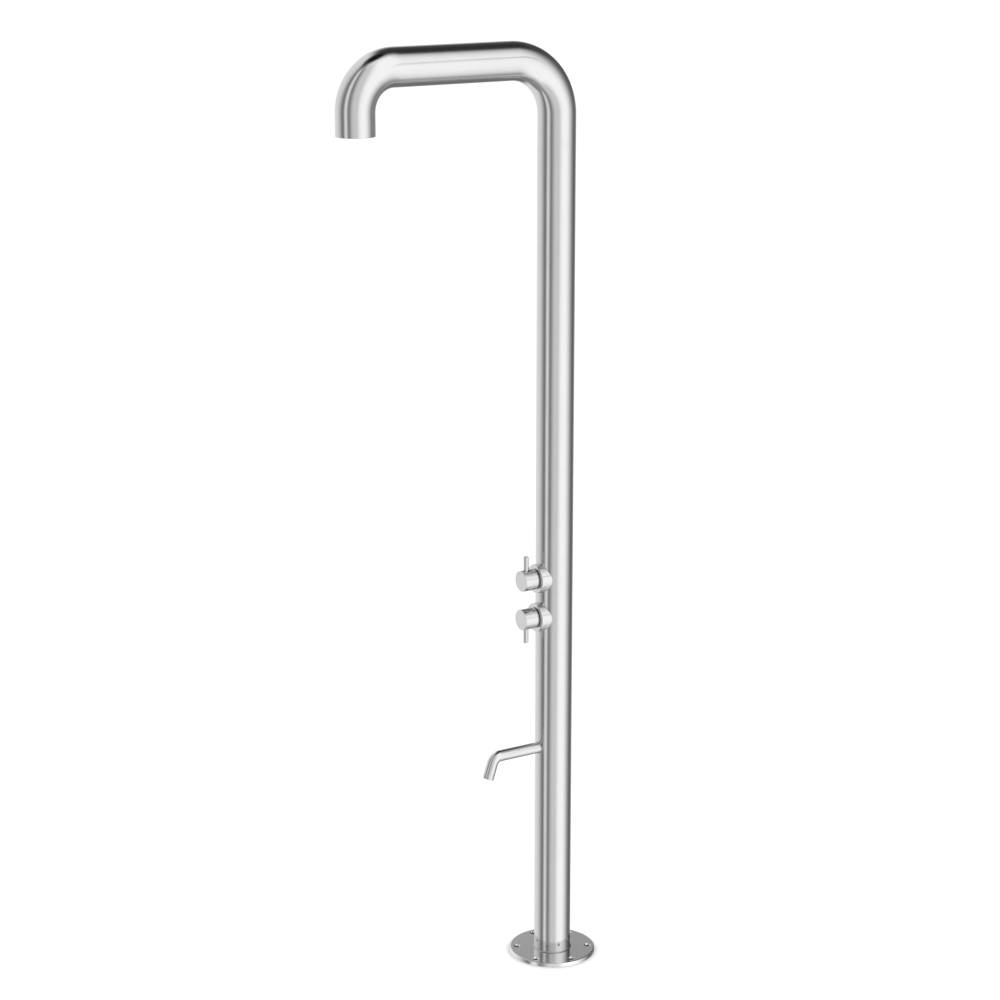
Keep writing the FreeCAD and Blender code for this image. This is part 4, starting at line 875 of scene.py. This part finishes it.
def patch(tree, way, bearing, height, start, end):
    """How much a way lies in a round patch about a bearing from the camera's side and a height.

    It goes smoothly from 0 to 1 as the way's dot product with the patch's middle goes from start
    to end.
    """
    turn, rise = math.radians(bearing) + FACING, math.radians(height)
    middle = (math.cos(rise) * math.cos(turn), math.cos(rise) * math.sin(turn), math.sin(rise))
    dot = add(tree, "VectorMath", {0: way, 1: middle}, operation="DOT_PRODUCT")
    span = {"Value": dot, "From Min": start, "From Max": end}
    return add(tree, "MapRange", span, interpolation_type="SMOOTHSTEP")


def mirrored_walls(tree, x, y):
    """The light of the panels, by the bearing of a way from the camera's side."""
    bearing = add(tree, "Math", {0: y, 1: x}, operation="ARCTAN2")
    turned = add(tree, "Math", {0: bearing, 1: math.pi - FACING}, operation="ADD")
    turns = add(tree, "Math", {0: turned, 1: FULL_TURN}, operation="DIVIDE")
    once = add(tree, "Math", {0: turns}, operation="FRACT")
    return add(tree, "ValToRGB", {0: once}, stops=[((b + 180) / 360, grey(g)) for b, g in PANELS])


def batten_share(tree, way, y, z):
    """How much a way lies on the batten: near its line, inside its patch and between its ends."""
    rising, falling = (
        add(tree, "Math", {0: y, 1: slope, 2: level}, operation="MULTIPLY_ADD")
        for slope, level in BATTEN
    )
    line = add(tree, "Math", {0: rising, 1: falling}, operation="MINIMUM")
    off = add(tree, "Math", {0: z, 1: line}, operation="SUBTRACT")
    distance = add(tree, "Math", {0: off}, operation="ABSOLUTE")
    share = patch(tree, way, *BATTEN_CLOTH[:4])
    for value, (out, full) in [(distance, BATTEN_EDGE), *((y, end) for end in BATTEN_ENDS)]:
        span = {"Value": value, "From Min": out, "From Max": full}
        part = add(tree, "MapRange", span, interpolation_type="SMOOTHSTEP")
        share = add(tree, "Math", {0: share, 1: part}, operation="MULTIPLY")
    return share


def make_world():
    """White for the camera, even light on matt surfaces, and a still studio for metal to mirror."""
    world = bpy.data.worlds.new("studio")
    bpy.context.scene.world = world
    world.use_nodes = True
    tree = world.node_tree
    tree.nodes.clear()
    way = add(tree, "TexCoord")
    x, y, z = add(tree, "SeparateXYZ", {0: way}).node.outputs
    mirrored = mirrored_walls(tree, x, y)

    layers = [(patch(tree, way, *cloth), grey(shade)) for *cloth, shade in CLOTHS]
    to_window = add(tree, "VectorMath", {0: way, 1: TO_WINDOW}, operation="DOT_PRODUCT")
    for part, shades, (begin, end), (out, full) in [
        (x, ROOF, ROOF_WAY, ROOF_EDGE),
        (to_window, GROUND, GROUND_WAY, GROUND_EDGE),
    ]:
        run = add(tree, "MapRange", {"Value": part, "From Min": begin, "From Max": end})
        light = add(tree, "ValToRGB", {0: run}, stops=[(place, grey(g)) for place, g in shades])
        span = {"Value": z, "From Min": out, "From Max": full}
        layers.append((add(tree, "MapRange", span, interpolation_type="SMOOTHSTEP"), light))
    layers.append((patch(tree, way, *LAMP_CORE[:4]), grey(LAMP_CORE[4])))
    layers.append((batten_share(tree, way, y, z), grey(BATTEN_CLOTH[4])))
    for share, light in layers:
        mix = {"Factor": share, "A": mirrored, "B": light}
        mirrored = add(tree, "Mix", mix, data_type="RGBA")

    path = add(tree, "LightPath").node.outputs
    mix = {"Factor": path["Is Camera Ray"], "A": EVEN_LIGHT, "B": WHITE}
    matt = add(tree, "Mix", mix, data_type="RGBA")
    rays = {0: path["Is Glossy Ray"], 1: path["Is Transmission Ray"]}
    metal_ray = add(tree, "Math", rays, operation="MAXIMUM")
    light = add(tree, "Mix", {"Factor": metal_ray, "A": matt, "B": mirrored}, data_type="RGBA")
    add(tree, "OutputWorld", {"Surface": add(tree, "Background", {"Color": light, "Strength": 1.0})})


def make_floor():
    """A wide pale floor, white to the camera outside the base plate, and open from below. It carries
    painted shade: near black under the plate, and a faint ring just past its edge where the glow fades
    in.
    """
    low, high = -FLOOR_REACH, FLOOR_REACH
    corners = [(low, low, 0), (high, low, 0), (high, high, 0), (low, high, 0)]
    mesh = bpy.data.meshes.new("floor")
    mesh.from_pydata(corners, [], [(0, 1, 2, 3)])
    floor = bpy.data.objects.new("floor", mesh)
    bpy.context.scene.collection.objects.link(floor)
    material, tree, shader = start_material("pale_studio_floor", FLOOR_TONE, 0.9)
    place = add(tree, "TexCoord").node.outputs["Object"]
    reach = add(tree, "VectorMath", {0: place}, operation="LENGTH")
    begin, end = FLOOR_SHADE_EDGE
    beyond = add(tree, "MapRange", {"Value": reach, "From Min": begin, "From Max": end})
    # painted shade: the floor's colour is near black under the plate
    tones = [(0.0, colour(SHADE_UNDER_PLATE)), (0.1, colour(FLOOR_TONE))]
    bare = add(tree, "ValToRGB", {"Fac": beyond}, stops=tones)
    tree.links.new(bare, shader.inputs["Base Color"])
    camera_ray = add(tree, "LightPath").node.outputs["Is Camera Ray"]
    # the glow fades in past the plate's edge, leaving a faint painted shade round it
    seen = add(tree, "Math", {0: camera_ray, 1: beyond}, operation="MULTIPLY")
    glow = add(tree, "Math", {0: seen, 1: FLOOR_GLOW}, operation="MULTIPLY")
    shader.inputs["Emission Color"].default_value = WHITE
    tree.links.new(glow, shader.inputs["Emission Strength"])
    under = add(tree, "NewGeometry").node.outputs["Backfacing"]
    gone = add(tree, "BsdfTransparent")
    one_sided = add(tree, "MixShader", {0: under, 1: shader.outputs["BSDF"], 2: gone})
    tree.links.new(one_sided, tree.nodes["Material Output"].inputs["Surface"])
    mesh.materials.append(material)
    floor.visible_glossy = False


def make_camera():
    """The camera at the photograph's angle."""
    data = bpy.data.cameras.new("camera")
    camera = bpy.data.objects.new("camera", data)
    bpy.context.scene.collection.objects.link(camera)
    camera.location = CAMERA_PLACE
    camera.rotation_euler = Vector(CAMERA_LOOK).to_track_quat("-Z", "Y").to_euler()
    data.sensor_width = SENSOR
    data.lens = FOCAL_PIXELS * SENSOR / IMAGE_PIXELS
    bpy.context.scene.camera = camera


dress_nodes()
make_tube()
make_plate()
make_foot_weld()
make_spout()
make_spout_weld()
make_screws()
make_world()
make_floor()
make_camera()
bpy.context.scene.view_settings.view_transform = "Standard"
